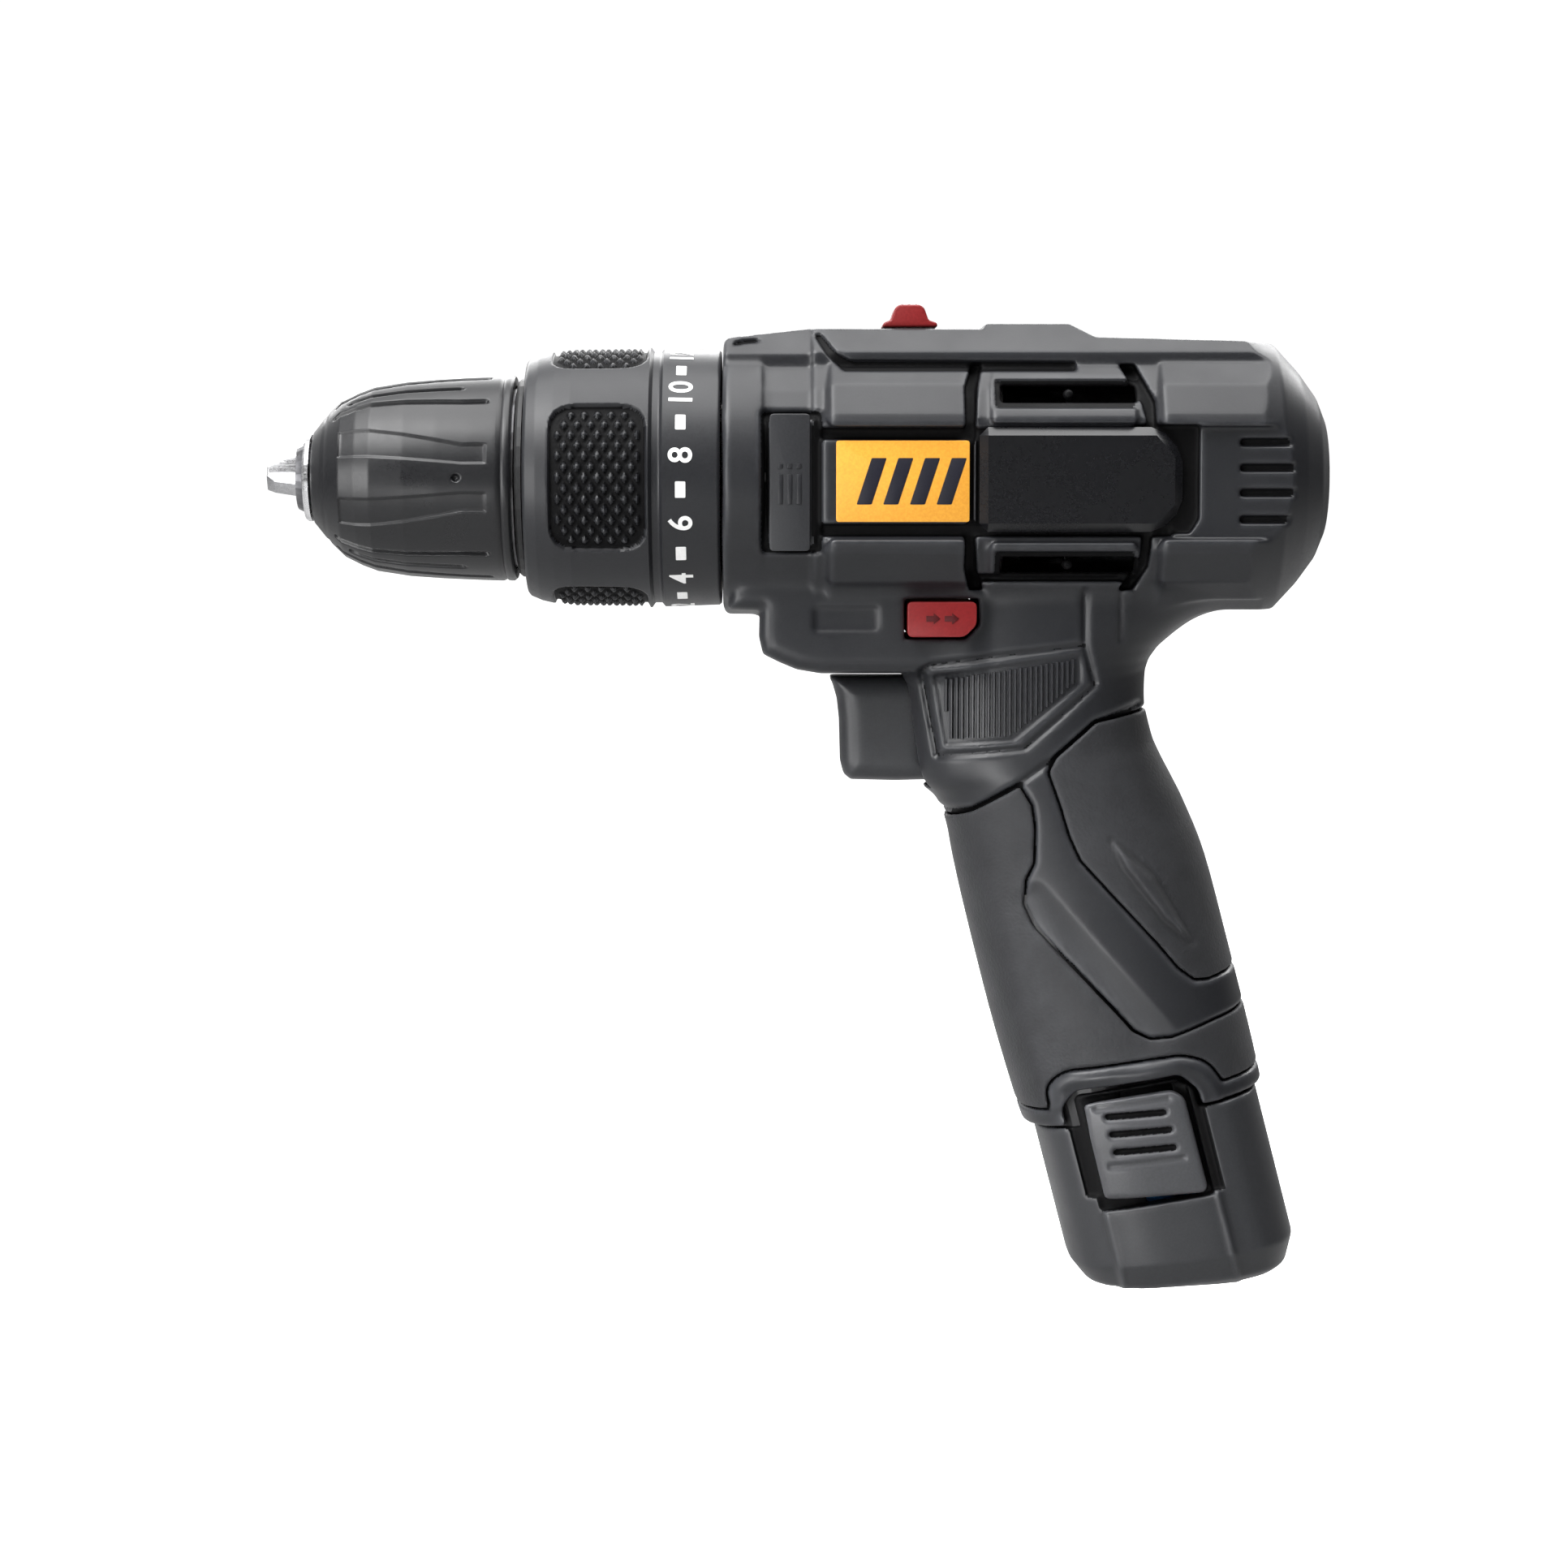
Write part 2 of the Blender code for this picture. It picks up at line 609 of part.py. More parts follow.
def build_housing():
    body = housing_outside()
    hollow = turned("bore", BORE_PROFILE, steps=36)
    hollow = join(hollow, loft("grip_cavity", grip_rings(GRIP_WALL, 6.0)))
    hollow = join(hollow, box("chin_room", (-97.0, -13.0, -31.4), (-66.0, 13.0, -16.0)))
    tower_way = prism("tower_way", cell_hull(TOWER_OFFSET + 0.45), -10.0, TOWER_TOP_S + 1.0, along_stick)
    hollow = join(hollow, tower_way)
    # Bosses for the screws are left standing in the hollow
    for x, z in SCREWS:
        hollow = cut(hollow, rod("boss", BOSS_RADIUS, -30.0, 30.0, along_y, (x, z), 12))
    body = cut(body, hollow)
    # Openings
    trigger_way = [(-95.0, -34.3), (-66.0, -34.3), (-66.0, -54.6), (-95.0, -54.6)]
    body = cut(body, prism("trigger_way", trigger_way, -7.6, 7.6, along_y))
    reach = [(-74.9, -21.0), (-61.9, -21.0), (-61.9, -25.7), (-64.2, -28.1), (-74.9, -28.1)]
    body = cut(body, prism("direction_way", reach, -30.0, 30.0, along_y))
    lens_way = [
        (-104.0, -24.6), (-96.0, -24.6), (-96.0, -31.0), (-97.0, -31.6), (-97.0, -36.0),
        (-104.0, -36.0),
    ]
    body = cut(body, prism("lens_way", lens_way, -5.4, 5.4, along_y))
    slot = (SELECTOR_X[0] + 0.2, SELECTOR_X[1] + SELECTOR_TRAVEL + 0.2)
    body = cut(body, box("selector_slot", (slot[0], -3.4, 15.0), (slot[1], 3.4, 30.0)))
    for low, high in (VENT_UPPER_Z, VENT_LOWER_Z):
        for side in (1.0, -1.0):
            ends = sorted((side * 12.0, side * 30.0))
            corner = (VENT_X[0], ends[0], low), (VENT_X[1], ends[1], high)
            body = cut(body, box("vent", *corner))
    for height in RIB_HEIGHTS:
        for side in (1.0, -1.0):
            ends = sorted((side * (PLATE_FACE_Y - 1.0), side * 30.0))
            low, high = height - RIB_WIDTH / 2.0, height + RIB_WIDTH / 2.0
            body = cut(body, box("rib_slot", (RIB_X[0], ends[0], low), (RIB_X[1], ends[1], high)))
    for outline, sides in ((SIDE_PLATE, (1, -1)), (COVER_PLATE, (1, -1)), (LABEL_PLATE, (-1,))):
        for side in sides:
            pocket = plate_pocket(outline)
            if side < 0:
                pocket = mirrored_cutter(pocket)
            body = cut(body, pocket)
    for side in (1.0, -1.0):
        ends = sorted((side * 12.0, side * 30.0))
        body = cut(body, prism("notch", notch_outline(0.0), ends[0], ends[1], from_stick_side))
    inner = loft("skin_floor", grip_rings(SKIN_THICKNESS + SKIN_CLEARANCE, 6.0))
    for outline in (FRONT_SKIN, REAR_SKIN):
        recess = prism("skin_recess", outline, -40.0, 40.0, along_y)
        recess = cut(recess, inner, keep=True)
        body = cut(body, recess)
    # Screw holes: a counterbore and a clear hole on the right, a pilot hole on the left
    for x, z in SCREWS:
        head, shank = SCREW_HEAD_RADIUS + GAP, SCREW_SHANK_RADIUS + GAP
        body = cut(body, rod("head_way", head, SCREW_HEAD_Y, 40.0, along_y, (x, z), 12))
        body = cut(body, rod("shank_way", shank, -9.0, 14.0, along_y, (x, z), 10))
    right = copied(body, "housing_right", PARTS)
    left = copied(body, "housing_left", PARTS)
    half = SPLIT_GAP / 2.0
    right = common(right, box("right_half", (-150.0, half, -160.0), (50.0, 60.0, 60.0)))
    left = common(left, box("left_half", (-150.0, -60.0, -160.0), (50.0, -half, 60.0)))
    finish(right, "charcoal")
    finish(left, "charcoal")
    bpy.data.objects.remove(inner, do_unlink=True)
    build_skins()
    for number, (x, z) in enumerate(SCREWS, start=1):
        name, low = f"housing_screw_{number}", SCREW_HEAD_Y + GAP
        head = rod(name, SCREW_HEAD_RADIUS, low, SCREW_HEAD_Y + 2.5, along_y, (x, z), 12, PARTS)
        shank = rod("shank", SCREW_SHANK_RADIUS, -8.0, SCREW_HEAD_Y + 1.0, along_y, (x, z), 10)
        head = join(head, shank)
        recess = rod("drive", 1.1, SCREW_HEAD_Y + 1.2, SCREW_HEAD_Y + 4.0, along_y, (x, z), 6)
        finish(cut(head, recess), "dark_steel")


def mirrored_cutter(thing):
    mesh = thing.data.copy()
    mesh.transform(Matrix.Scale(-1.0, 4, (0.0, 1.0, 0.0)))
    tidy(mesh)
    name = thing.name
    bpy.data.objects.remove(thing, do_unlink=True)
    return show(name, mesh, CUTTERS)


def build_skins():
    """The soft skins of the grip: a shell over the recessed zones, one for each half."""
    half = SPLIT_GAP / 2.0
    under = loft("skin_under", grip_rings(SKIN_THICKNESS, 6.0))
    shell = cut(loft("skin_shell", grip_rings(0.0)), under)
    for name, outline in (("front", FRONT_SKIN), ("rear", REAR_SKIN)):
        for side, low, high in (("right", half, 40.0), ("left", -40.0, -half)):
            zone = prism("skin_zone", shrunk(outline, GAP), low, high, along_y)
            skin = common(copied(shell, f"grip_{name}_{side}", PARTS), zone)
            if name == "front":
                ends = (12.0, 30.0) if side == "right" else (-30.0, -12.0)
                skin = cut(skin, prism("notch", notch_outline(0.9), *ends, from_stick_side))
            if side == "right":
                for x, z in SCREWS:
                    radius = SCREW_HEAD_RADIUS + GAP
                    way = rod("head_way", radius, SCREW_HEAD_Y, 40.0, along_y, (x, z), 12)
                    skin = cut(skin, way)
            finish(skin, "rubber")
    bpy.data.objects.remove(shell, do_unlink=True)


def shrunk(outline, amount):
    """A closed outline (x, z) pulled in by a small amount along its normals."""
    area = sum(
        a[0] * b[1] - b[0] * a[1] for a, b in zip(outline, outline[1:] + outline[:1])
    )
    turn = 1.0 if area > 0.0 else -1.0
    result = []
    count = len(outline)
    for k, point in enumerate(outline):
        before = Vector(outline[k - 1])
        here = Vector(point)
        after = Vector(outline[(k + 1) % count])
        first = (here - before).normalized()
        second = (after - here).normalized()
        normal = Vector((-first.y - second.y, first.x + second.x)) * turn
        normal.normalize()
        across = Vector((-first.y, first.x)) * turn
        result.append(tuple(here + normal * amount / max(0.5, normal.dot(across))))
    return result


def build_plates():
    low, high = PLATE_FACE_Y - PLATE_THICKNESS, PLATE_FACE_Y
    for name, outline, look in (
        ("side_plate", SIDE_PLATE, "charcoal"), ("cover_plate", COVER_PLATE, "black"),
    ):
        right = prism(f"{name}_right", outline, low, high, along_y, PARTS)
        left = prism(f"{name}_left", outline, -high, -low, along_y, PARTS)
        finish(right, look)
        finish(left, look)
    finish(prism("label_plate", LABEL_PLATE, -high, -low, along_y, PARTS), "amber")


# ---------------------------------------------------------------- controls

def build_controls():
    x0, x1 = SELECTOR_X
    knob_side = [
        (x0, SELECTOR_BASE_Z), (x0 + 0.9, SELECTOR_TOP_Z), (x1 - 0.8, SELECTOR_TOP_Z), (x1, SELECTOR_BASE_Z),
    ]
    selector = prism("speed_selector", knob_side, -6.5, 6.5, along_y, PARTS)
    bevel(selector, 0.8)
    base_low = (x0 - 0.6, -6.2, SELECTOR_BASE_Z - 0.05)
    selector = join(selector, box("base", base_low, (x1 + 2.2, 6.2, 27.3)))
    selector = join(selector, box("stem", (x0 + 0.8, -2.6, 18.7), (x1 - 0.4, 2.6, 27.0)))
    finish(selector, "red", (x0, 0.0, SELECTOR_BASE_Z))

    reach = DIRECTION_HALF_LENGTH
    button = prism("direction_button", DIRECTION_OUTLINE, -reach, reach, along_y, PARTS)
    bevel_side_faces(button, reach, 0.8)
    finish(button, "red", (-68.0, 0.0, -24.5))

    width = TRIGGER_HALF_WIDTH
    trigger = prism("trigger", TRIGGER_OUTLINE, -width, width, along_y, PARTS)
    bevel_side_faces(trigger, width, 2.0, keep_rear=-74.0)
    socket = rod("socket", 3.6, -71.5, -60.0, along_x, (0.0, -44.5), 12)
    finish(cut(trigger, socket), "charcoal", (-70.0, 0.0, -44.5))

    coil("trigger_spring", (-71.1, -59.9), 2.3, 0.35, 4, (0.0, -44.5), "steel")

    x0, x1 = SWITCH_X
    z0, z1 = SWITCH_Z
    switch = box("switch_module", (x0, -SWITCH_HALF_WIDTH, z0), (x1, SWITCH_HALF_WIDTH, z1), PARTS)
    bevel(switch, 0.8)
    finish(switch, "black")

    lens = prism("lamp_lens", LENS_OUTLINE, -LENS_HALF_WIDTH, LENS_HALF_WIDTH, along_y, PARTS)
    finish(lens, "lens")
    board = box("lamp_board", (-95.6, -5.0, -30.6), (-94.2, 5.0, -24.6), PARTS)
    finish(board, "board")
    block = prism(
        "terminal_block", rectangle((-9.0, -9.0), (9.0, 9.0)), TOWER_TOP_S + 1.4, TOWER_TOP_S + 6.5,
        along_stick, PARTS,
    )
    finish(block, "black")


def rectangle(low, high):
    return [(low[0], low[1]), (high[0], low[1]), (high[0], high[1]), (low[0], high[1])]


def bevel(thing, size, segments=2):
    shape = bmesh.new()
    shape.from_mesh(thing.data)
    bmesh.ops.dissolve_limit(shape, angle_limit=0.01, verts=shape.verts, edges=shape.edges)
    edges = list(shape.edges)
    bmesh.ops.bevel(shape, geom=edges, offset=size * MM, segments=segments, profile=0.5, affect="EDGES")
    shape.to_mesh(thing.data)
    shape.free()


def bevel_side_faces(thing, half_width, size, keep_rear=None):
    shape = bmesh.new()
    shape.from_mesh(thing.data)
    reach = half_width * MM - 1e-6
    bmesh.ops.dissolve_limit(shape, angle_limit=0.01, verts=shape.verts, edges=shape.edges)
    edges = []
    for edge in shape.edges:
        first, second = edge.verts
        on_side = min(abs(first.co.y), abs(second.co.y)) > reach and first.co.y * second.co.y > 0.0
        in_front = keep_rear is None or max(first.co.x, second.co.x) < keep_rear * MM
        if on_side and in_front:
            edges.append(edge)
    bmesh.ops.bevel(shape, geom=edges, offset=size * MM, segments=2, profile=0.5, affect="EDGES")
    shape.to_mesh(thing.data)
    shape.free()


def coil(name, span, radius, wire, turns, centre, look):
    """A coil spring along X: a round wire on a helix."""
    curve = bpy.data.curves.new(name, "CURVE")
    curve.dimensions = "3D"
    curve.bevel_depth = wire * MM
    curve.bevel_resolution = 1
    curve.use_fill_caps = True
    count = turns * COIL_POINTS + 1
    spline = curve.splines.new("POLY")
    spline.points.add(count - 1)
    low, high = span[0] + wire, span[1] - wire
    for k, point in enumerate(spline.points):
        angle = 2.0 * math.pi * k / COIL_POINTS
        x = low + (high - low) * k / (count - 1)
        y = centre[0] + radius * math.cos(angle)
        z = centre[1] + radius * math.sin(angle)
        point.co = (x * MM, y * MM, z * MM, 1.0)
    thing = settled(show(name, curve, PARTS))
    return finish(thing, look)


# ---------------------------------------------------------------- drive train

def planet_places():
    return circle(PLANET_ORBIT, PLANETS)


def planet_phase(place):
    angle = math.atan2(place[1], place[0])
    return angle * (1.0 - RING_TEETH / PLANET_TEETH)


def build_planets(stage, span):
    for number, place in enumerate(planet_places(), start=1):
        outline = gear_outline(PLANET_TEETH, external_radii(PLANET_TEETH), BACKLASH, planet_phase(place))
        moved = [(y + place[0], z + place[1]) for y, z in outline]
        gear = prism(f"stage_{stage}_planet_{number}", moved, span[0], span[1], along_x, PARTS)
        hole = rod("pin_hole", PLANET_BORE, span[0] - 1.0, span[1] + 1.0, along_x, place, 14)
        middle = (span[0] + span[1]) / 2.0
        finish(cut(gear, hole), "sintered", (middle, place[0], place[1]))


def sun_outline():
    return gear_outline(SUN_TEETH, external_radii(SUN_TEETH), BACKLASH, math.pi / SUN_TEETH)


def build_gearbox():
    build_planets(1, STAGE_1_X)
    build_planets(2, STAGE_2_X)

    disc = (STAGE_1_X[0] - 3.4, STAGE_1_X[0] - 0.5)
    carrier = rod("carrier_1", CARRIER_RADIUS, disc[0], disc[1], along_x, count=32, collection=PARTS)
    carrier = join(carrier, prism("sun_2", sun_outline(), STAGE_2_X[0], disc[1] - 0.5, along_x))
    for place in planet_places():
        pin = rod("pin", PIN_RADIUS, disc[0] + 0.5, STAGE_1_X[1] + 0.4, along_x, place, 12)
        carrier = join(carrier, pin)
    finish(carrier, "sintered", (0.0, 0.0, 0.0))

    disc = (STAGE_2_X[0] - 3.1, STAGE_2_X[0] - GAP)
    spindle = rod("output_spindle", CARRIER_RADIUS, disc[0], disc[1], along_x, count=32, collection=PARTS)
    shaft = rod("shaft", SPINDLE_RADIUS, SPINDLE_FRONT_X, disc[1] - 0.5, along_x, count=24)
    spindle = join(spindle, shaft)
    for place in planet_places():
        pin = rod("pin", PIN_RADIUS, disc[0] + 0.5, STAGE_2_X[1] + 0.4, along_x, place, 12)
        spindle = join(spindle, pin)
    spindle = cut(spindle, rod("screw_way", 2.9, SPINDLE_FRONT_X - 1.0, -143.0, along_x, count=12))
    finish(spindle, "steel", (0.0, 0.0, 0.0))

    x0, x1 = SHIFT_RING_X
    ring = rod("shift_ring_gear", SHIFT_RING_RADIUS, x0, x1, along_x, count=32, collection=PARTS)
    ring = cut(ring, prism("ring_hole", ring_spaces(), x0 - 1.0, x1 + 1.0, along_x))
    finish(ring, "sintered", (x0, 0.0, 0.0))

    front = -97.6
    profile = [
        (NOSE_FRONT_X, NOSE_BORE), (NOSE_FRONT_X, NOSE_RADIUS), (front, NOSE_RADIUS), (front, CASE_RADIUS),
        (-59.3, CASE_RADIUS), (-59.3, CASE_BORE), (-81.8, CASE_BORE), (-81.8, 14.9), (-95.2, 14.9),
        (-95.2, NOSE_BORE),
    ]
    case = turned("gearbox_case", profile, PARTS, 32)
    case = cut(case, prism("ring_hole", ring_spaces(), -95.0, -81.0, along_x))
    slot = (SELECTOR_X[0] - 0.2, SELECTOR_X[1] + SELECTOR_TRAVEL + 0.6)
    case = cut(case, box("fork_slot", (slot[0], -3.2, 10.0), (slot[1], 3.2, 25.0)))
    finish(case, "nylon")

    for number, (low, high) in enumerate(((-140.2, -132.0), (-104.0, -97.0)), start=1):
        bush = [(low, SPINDLE_RADIUS + 0.2), (low, NOSE_BORE - 0.25), (high, NOSE_BORE - 0.25),
                (high, SPINDLE_RADIUS + 0.2)]
        finish(turned(f"spindle_bush_{number}", bush, PARTS, 28), "bronze")


def build_motor():
    x0, x1 = CAN_X
    inner = CAN_RADIUS - CAN_WALL
    profile = [
        (x0, 4.2), (x0, CAN_RADIUS), (x1, CAN_RADIUS), (x1, inner), (x0 + 1.4, inner), (x0 + 1.4, 4.2),
    ]
    can = turned("motor_can", profile, PARTS, 30)
    for angle in (45.0, 135.0, 225.0, 315.0):
        turn = math.radians(angle)
        window = [(14.0, -4.0), (22.0, -4.0), (22.0, 4.0), (14.0, 4.0)]
        turned_window = [
            (a * math.cos(turn) - b * math.sin(turn), a * math.sin(turn) + b * math.cos(turn))
            for a, b in window
        ]
        can = cut(can, prism("window", turned_window, x0 + 3.0, x0 + 11.0, along_x))
    finish(can, "dark_steel")

    cap_profile = [(x1 + GAP, 2.2), (x1 + GAP, 16.6), (-9.5, 16.6), (-6.5, 13.0), (-6.5, 2.2)]
    finish(turned("motor_end_cap", cap_profile, PARTS), "black")

    armature_profile = [
        (SHAFT_X[0], 0.0), (SHAFT_X[0], SHAFT_RADIUS), (-45.4, SHAFT_RADIUS), (-45.4, 9.0), (-43.0, 11.5),
        (-41.0, 11.5), (-41.0, 14.6), (-22.0, 14.6), (-22.0, 11.5), (-20.0, 9.0), (-20.0, 5.0),
        (-14.4, 5.0), (-14.4, SHAFT_RADIUS), (SHAFT_X[1], SHAFT_RADIUS), (SHAFT_X[1], 0.0),
    ]
    finish(turned("armature", armature_profile, PARTS, 24), "copper", (0.0, 0.0, 0.0))

    pinion = prism("motor_pinion", sun_outline(), STAGE_1_X[0], STAGE_1_X[1] + 1.5, along_x, PARTS)
    hole = rod("hole", SHAFT_RADIUS + 0.35, -80.0, -60.0, along_x, count=14)
    finish(cut(pinion, hole), "steel", (0.0, 0.0, 0.0))

    hub = [(-55.2, 2.1), (-55.2, 5.0), (-47.0, 5.0), (-47.0, 2.1)]
    fan = turned("cooling_fan", hub, PARTS, 24)
    disc = [(-48.4, 4.0), (-48.4, 15.4), (-47.0, 15.4), (-47.0, 4.0)]
    fan = join(fan, turned("disc", disc, steps=24))
    for k in range(8):
        turn = 2.0 * math.pi * k / 8
        blade = [(4.2, -0.6), (15.0, -0.6), (15.0, 0.6), (4.2, 0.6)]
        placed = [
            (a * math.cos(turn) - b * math.sin(turn), a * math.sin(turn) + b * math.cos(turn))
            for a, b in blade
        ]
        fan = join(fan, prism("blade", placed, -54.2, -47.8, along_x))
    finish(fan, "black", (0.0, 0.0, 0.0))


def build_clutch():
    collar = turned("clutch_collar", COLLAR_PROFILE, PARTS, 40)
    finish(collar, "charcoal", (0.0, 0.0, 0.0))
    x0, x1 = NUT_X
    nut = [(x0, NOSE_RADIUS + 0.4), (x0, 19.6), (x1, 19.6), (x1, NOSE_RADIUS + 0.4)]
    finish(turned("clutch_adjuster_nut", nut, PARTS, 32), "nylon", (x1, 0.0, 0.0))
    coil("clutch_spring", SPRING_X, SPRING_RADIUS, SPRING_WIRE, SPRING_TURNS, (0.0, 0.0), "steel")
    plate = [(-100.4, NOSE_RADIUS + 0.4), (-100.4, 19.4), (-98.2, 19.4), (-98.2, NOSE_RADIUS + 0.4)]
    finish(turned("clutch_plate", plate, PARTS, 32), "dark_steel")


# ---------------------------------------------------------------- chuck

def build_chuck():
    sleeve = turned("chuck_sleeve", SLEEVE_PROFILE, PARTS, 42)
    for group in range(FLUTE_GROUPS):
        for number in range(FLUTES_IN_GROUP):
            turn = math.radians(60.0 * group + FLUTE_PITCH_DEG * (number - 1))
            radius = 19.3
            centre = (radius * math.cos(turn), radius * math.sin(turn))
            flute = rod("flute", 1.9, FLUTE_X[0], FLUTE_X[1], along_x, centre, 6)
            sleeve = cut(sleeve, flute)
    finish(sleeve, "black", (0.0, 0.0, 0.0))

    body = turned("chuck_body", BODY_PROFILE, PARTS, 30)
    for k in range(3):
        body = cut(body, jaw_piece("slot", JAW_SLOT, JAW_HALF_WIDTH + GAP, k, CUTTERS))
    finish(body, "dark_steel", (0.0, 0.0, 0.0))

    for k in range(3):
        jaw = jaw_piece(f"chuck_jaw_{k + 1}", JAW_SIDE, JAW_HALF_WIDTH, k, PARTS)
        reach = 20.0
        wedge = [
            (0.25, 0.0),
            (reach, (reach - 0.25) * math.tan(math.radians(59.0))),
            (reach, -(reach - 0.25) * math.tan(math.radians(59.0))),
        ]
        turn = jaw_angle(k)
        placed = [
            (a * math.cos(turn) - b * math.sin(turn), a * math.sin(turn) + b * math.cos(turn))
            for a, b in wedge
        ]
        jaw = common(jaw, prism("wedge", placed, -200.0, -150.0, along_x))
        finish(jaw, "steel", (-188.2, 0.0, 0.0))

    nose = [(-181.0, 6.6), (-181.0, 7.4), (-180.6, 7.7), (-179.95, 7.7), (-179.95, 6.75)]
    finish(turned("chuck_nose_ring", nose, PARTS, 30), "steel")
    rear = [(-142.9, 6.6), (-142.9, 17.2), (-142.4, 17.6), (-141.7, 17.6), (-141.7, 6.6)]
    finish(turned("chuck_rear_ring", rear, PARTS, 30), "dark_steel")

    head = rod("chuck_screw", 4.3, -155.6, -152.8, along_x, count=16, collection=PARTS)
    head = join(head, rod("shank", 2.5, -153.5, -145.0, along_x, count=12))
    finish(cut(head, rod("drive", 1.6, -158.0, -154.4, along_x, count=6)), "dark_steel")


def jaw_angle(k):
    return math.radians(90.0 + 120.0 * k)


def jaw_piece(name, side, half_width, k, collection):
    """A bar whose side view (x, radius) stands in the plane at the jaw's angle."""
    turn = jaw_angle(k)

    def place(a, b, h):
        y = b * math.cos(turn) - h * math.sin(turn)
        z = b * math.sin(turn) + h * math.cos(turn)
        return Vector((a, y, z))

    return prism(name, side, -half_width, half_width, place, collection)


# ---------------------------------------------------------------- battery

def build_battery():
    depth, width = PACK_HALF_DEPTH, PACK_HALF_WIDTH
    rings = [pack_ring(*foot) for foot in PACK_FOOT]
    rings.append(pack_ring(depth, width, PACK_TOP_S, PACK_TOP_SLOPE))
    case = loft("battery_case", rings, PARTS)
    for side in (1.0, -1.0):
        ends = sorted((side * 18.0, side * 22.8))
        tab = prism("tab", tab_outline(), ends[0], ends[1], from_stick_side)
        hull = loft("tab_limit", [
            pack_ring(depth + 0.8, width + 0.3, -5.0), pack_ring(depth + 0.8, width + 0.3, 40.0),
        ])
        case = join(case, common(tab, hull))
    hollow = prism("cells_way", cell_hull(CELL_RADIUS + 0.3), CELL_BASE_S - 1.2, 40.0, along_stick)
    case = cut(case, hollow)
    tower_way = prism("tower_way", cell_hull(TOWER_OFFSET + 0.3), 11.0, 60.0, along_stick)
    case = cut(case, tower_way)
    for side in (1.0, -1.0):
        low, high = LATCH_E[0] - GAP, LATCH_E[1] + GAP
        outline = rectangle((low, LATCH_S[0] - GAP), (high, LATCH_S[1] + GAP))
        ends = sorted((side * POCKET_FLOOR_Y, side * 30.0))
        case = cut(case, prism("pocket", outline, ends[0], ends[1], from_stick_side))
    finish(case, "charcoal", STICK_POINT)

    tower = prism("battery_tower", cell_hull(TOWER_OFFSET), 11.3, TOWER_TOP_S, along_stick, PARTS)
    inside = prism("inside", cell_hull(TOWER_OFFSET - TOWER_WALL), 5.0, TOWER_TOP_S - 1.0, along_stick)
    tower = cut(tower, inside)
    for back in (-4.0, 4.0):
        outline = rectangle((back - 0.8, -7.0), (back + 0.8, 7.0))
        tower = cut(tower, prism("slot", outline, TOWER_TOP_S - 2.0, TOWER_TOP_S + 2.0, along_stick))
    finish(tower, "black", STICK_POINT)

    for number, centre in enumerate(CELL_CENTRES, start=1):
        low, high = CELL_BASE_S, CELL_BASE_S + CELL_LENGTH
        cell = rod(f"battery_cell_{number}", CELL_RADIUS, low, high, along_stick, centre, 24, PARTS)
        finish(cell, "cell")

    for name, side in (("right", 1.0), ("left", -1.0)):
        ends = sorted((side * LATCH_INNER_Y, side * 30.0))
        outline = rectangle((LATCH_E[0], LATCH_S[0]), (LATCH_E[1], LATCH_S[1]))
        latch = prism(f"battery_latch_{name}", outline, ends[0], ends[1], from_stick_side, PARTS)
        limit = loft("latch_limit", [
            pack_ring(depth + 0.9, width + 0.4, -5.0), pack_ring(depth + 0.9, width + 0.4, 40.0),
        ])
        latch = common(latch, limit)
        pivot = from_stick_side(0.0, LATCH_S[0] + 0.5, side * (LATCH_INNER_Y + 0.6))
        finish(latch, "black", pivot)


def tab_outline():
    """The raised part of the battery's side that fills the housing's notch."""
    low, high = NOTCH_E[0] + 0.5, NOTCH_E[1] - 0.5
    top = NOTCH_TOP_S - 0.5
    return [
        (low, 6.0), (high, 6.0), (high, top - NOTCH_CORNER), (high - NOTCH_CORNER, top),
        (low + NOTCH_CORNER, top), (low, top - NOTCH_CORNER),
    ]


clear_scene()
PARTS = make_collection("cordless_drill")
CUTTERS = make_collection("cutters")
build_housing()
build_plates()
build_controls()
build_gearbox()
build_motor()
build_clutch()
build_chuck()
build_battery()
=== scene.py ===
"""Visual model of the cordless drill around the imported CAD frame. Lengths below are in millimetres."""
import functools
import math

import bmesh
import bpy
import numpy as np
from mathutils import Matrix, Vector


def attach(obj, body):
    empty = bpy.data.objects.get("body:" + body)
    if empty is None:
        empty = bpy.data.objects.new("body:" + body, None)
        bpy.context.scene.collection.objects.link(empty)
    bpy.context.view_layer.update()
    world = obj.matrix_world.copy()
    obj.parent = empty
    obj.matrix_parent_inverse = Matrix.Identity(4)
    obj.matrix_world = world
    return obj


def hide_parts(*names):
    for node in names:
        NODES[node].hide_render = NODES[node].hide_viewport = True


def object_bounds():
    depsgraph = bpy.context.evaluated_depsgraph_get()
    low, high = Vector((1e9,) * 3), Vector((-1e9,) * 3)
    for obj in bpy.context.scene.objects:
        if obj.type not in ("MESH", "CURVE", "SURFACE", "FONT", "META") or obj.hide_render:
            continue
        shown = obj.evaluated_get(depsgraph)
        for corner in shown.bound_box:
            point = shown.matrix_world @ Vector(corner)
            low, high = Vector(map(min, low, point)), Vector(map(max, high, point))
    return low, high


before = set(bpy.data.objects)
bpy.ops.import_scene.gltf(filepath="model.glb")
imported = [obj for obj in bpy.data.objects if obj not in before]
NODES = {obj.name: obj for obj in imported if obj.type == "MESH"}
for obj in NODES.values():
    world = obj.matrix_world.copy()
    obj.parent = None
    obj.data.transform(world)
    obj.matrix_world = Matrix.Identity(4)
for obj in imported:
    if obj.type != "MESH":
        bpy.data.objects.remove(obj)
cad_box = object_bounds()
MM = 0.001

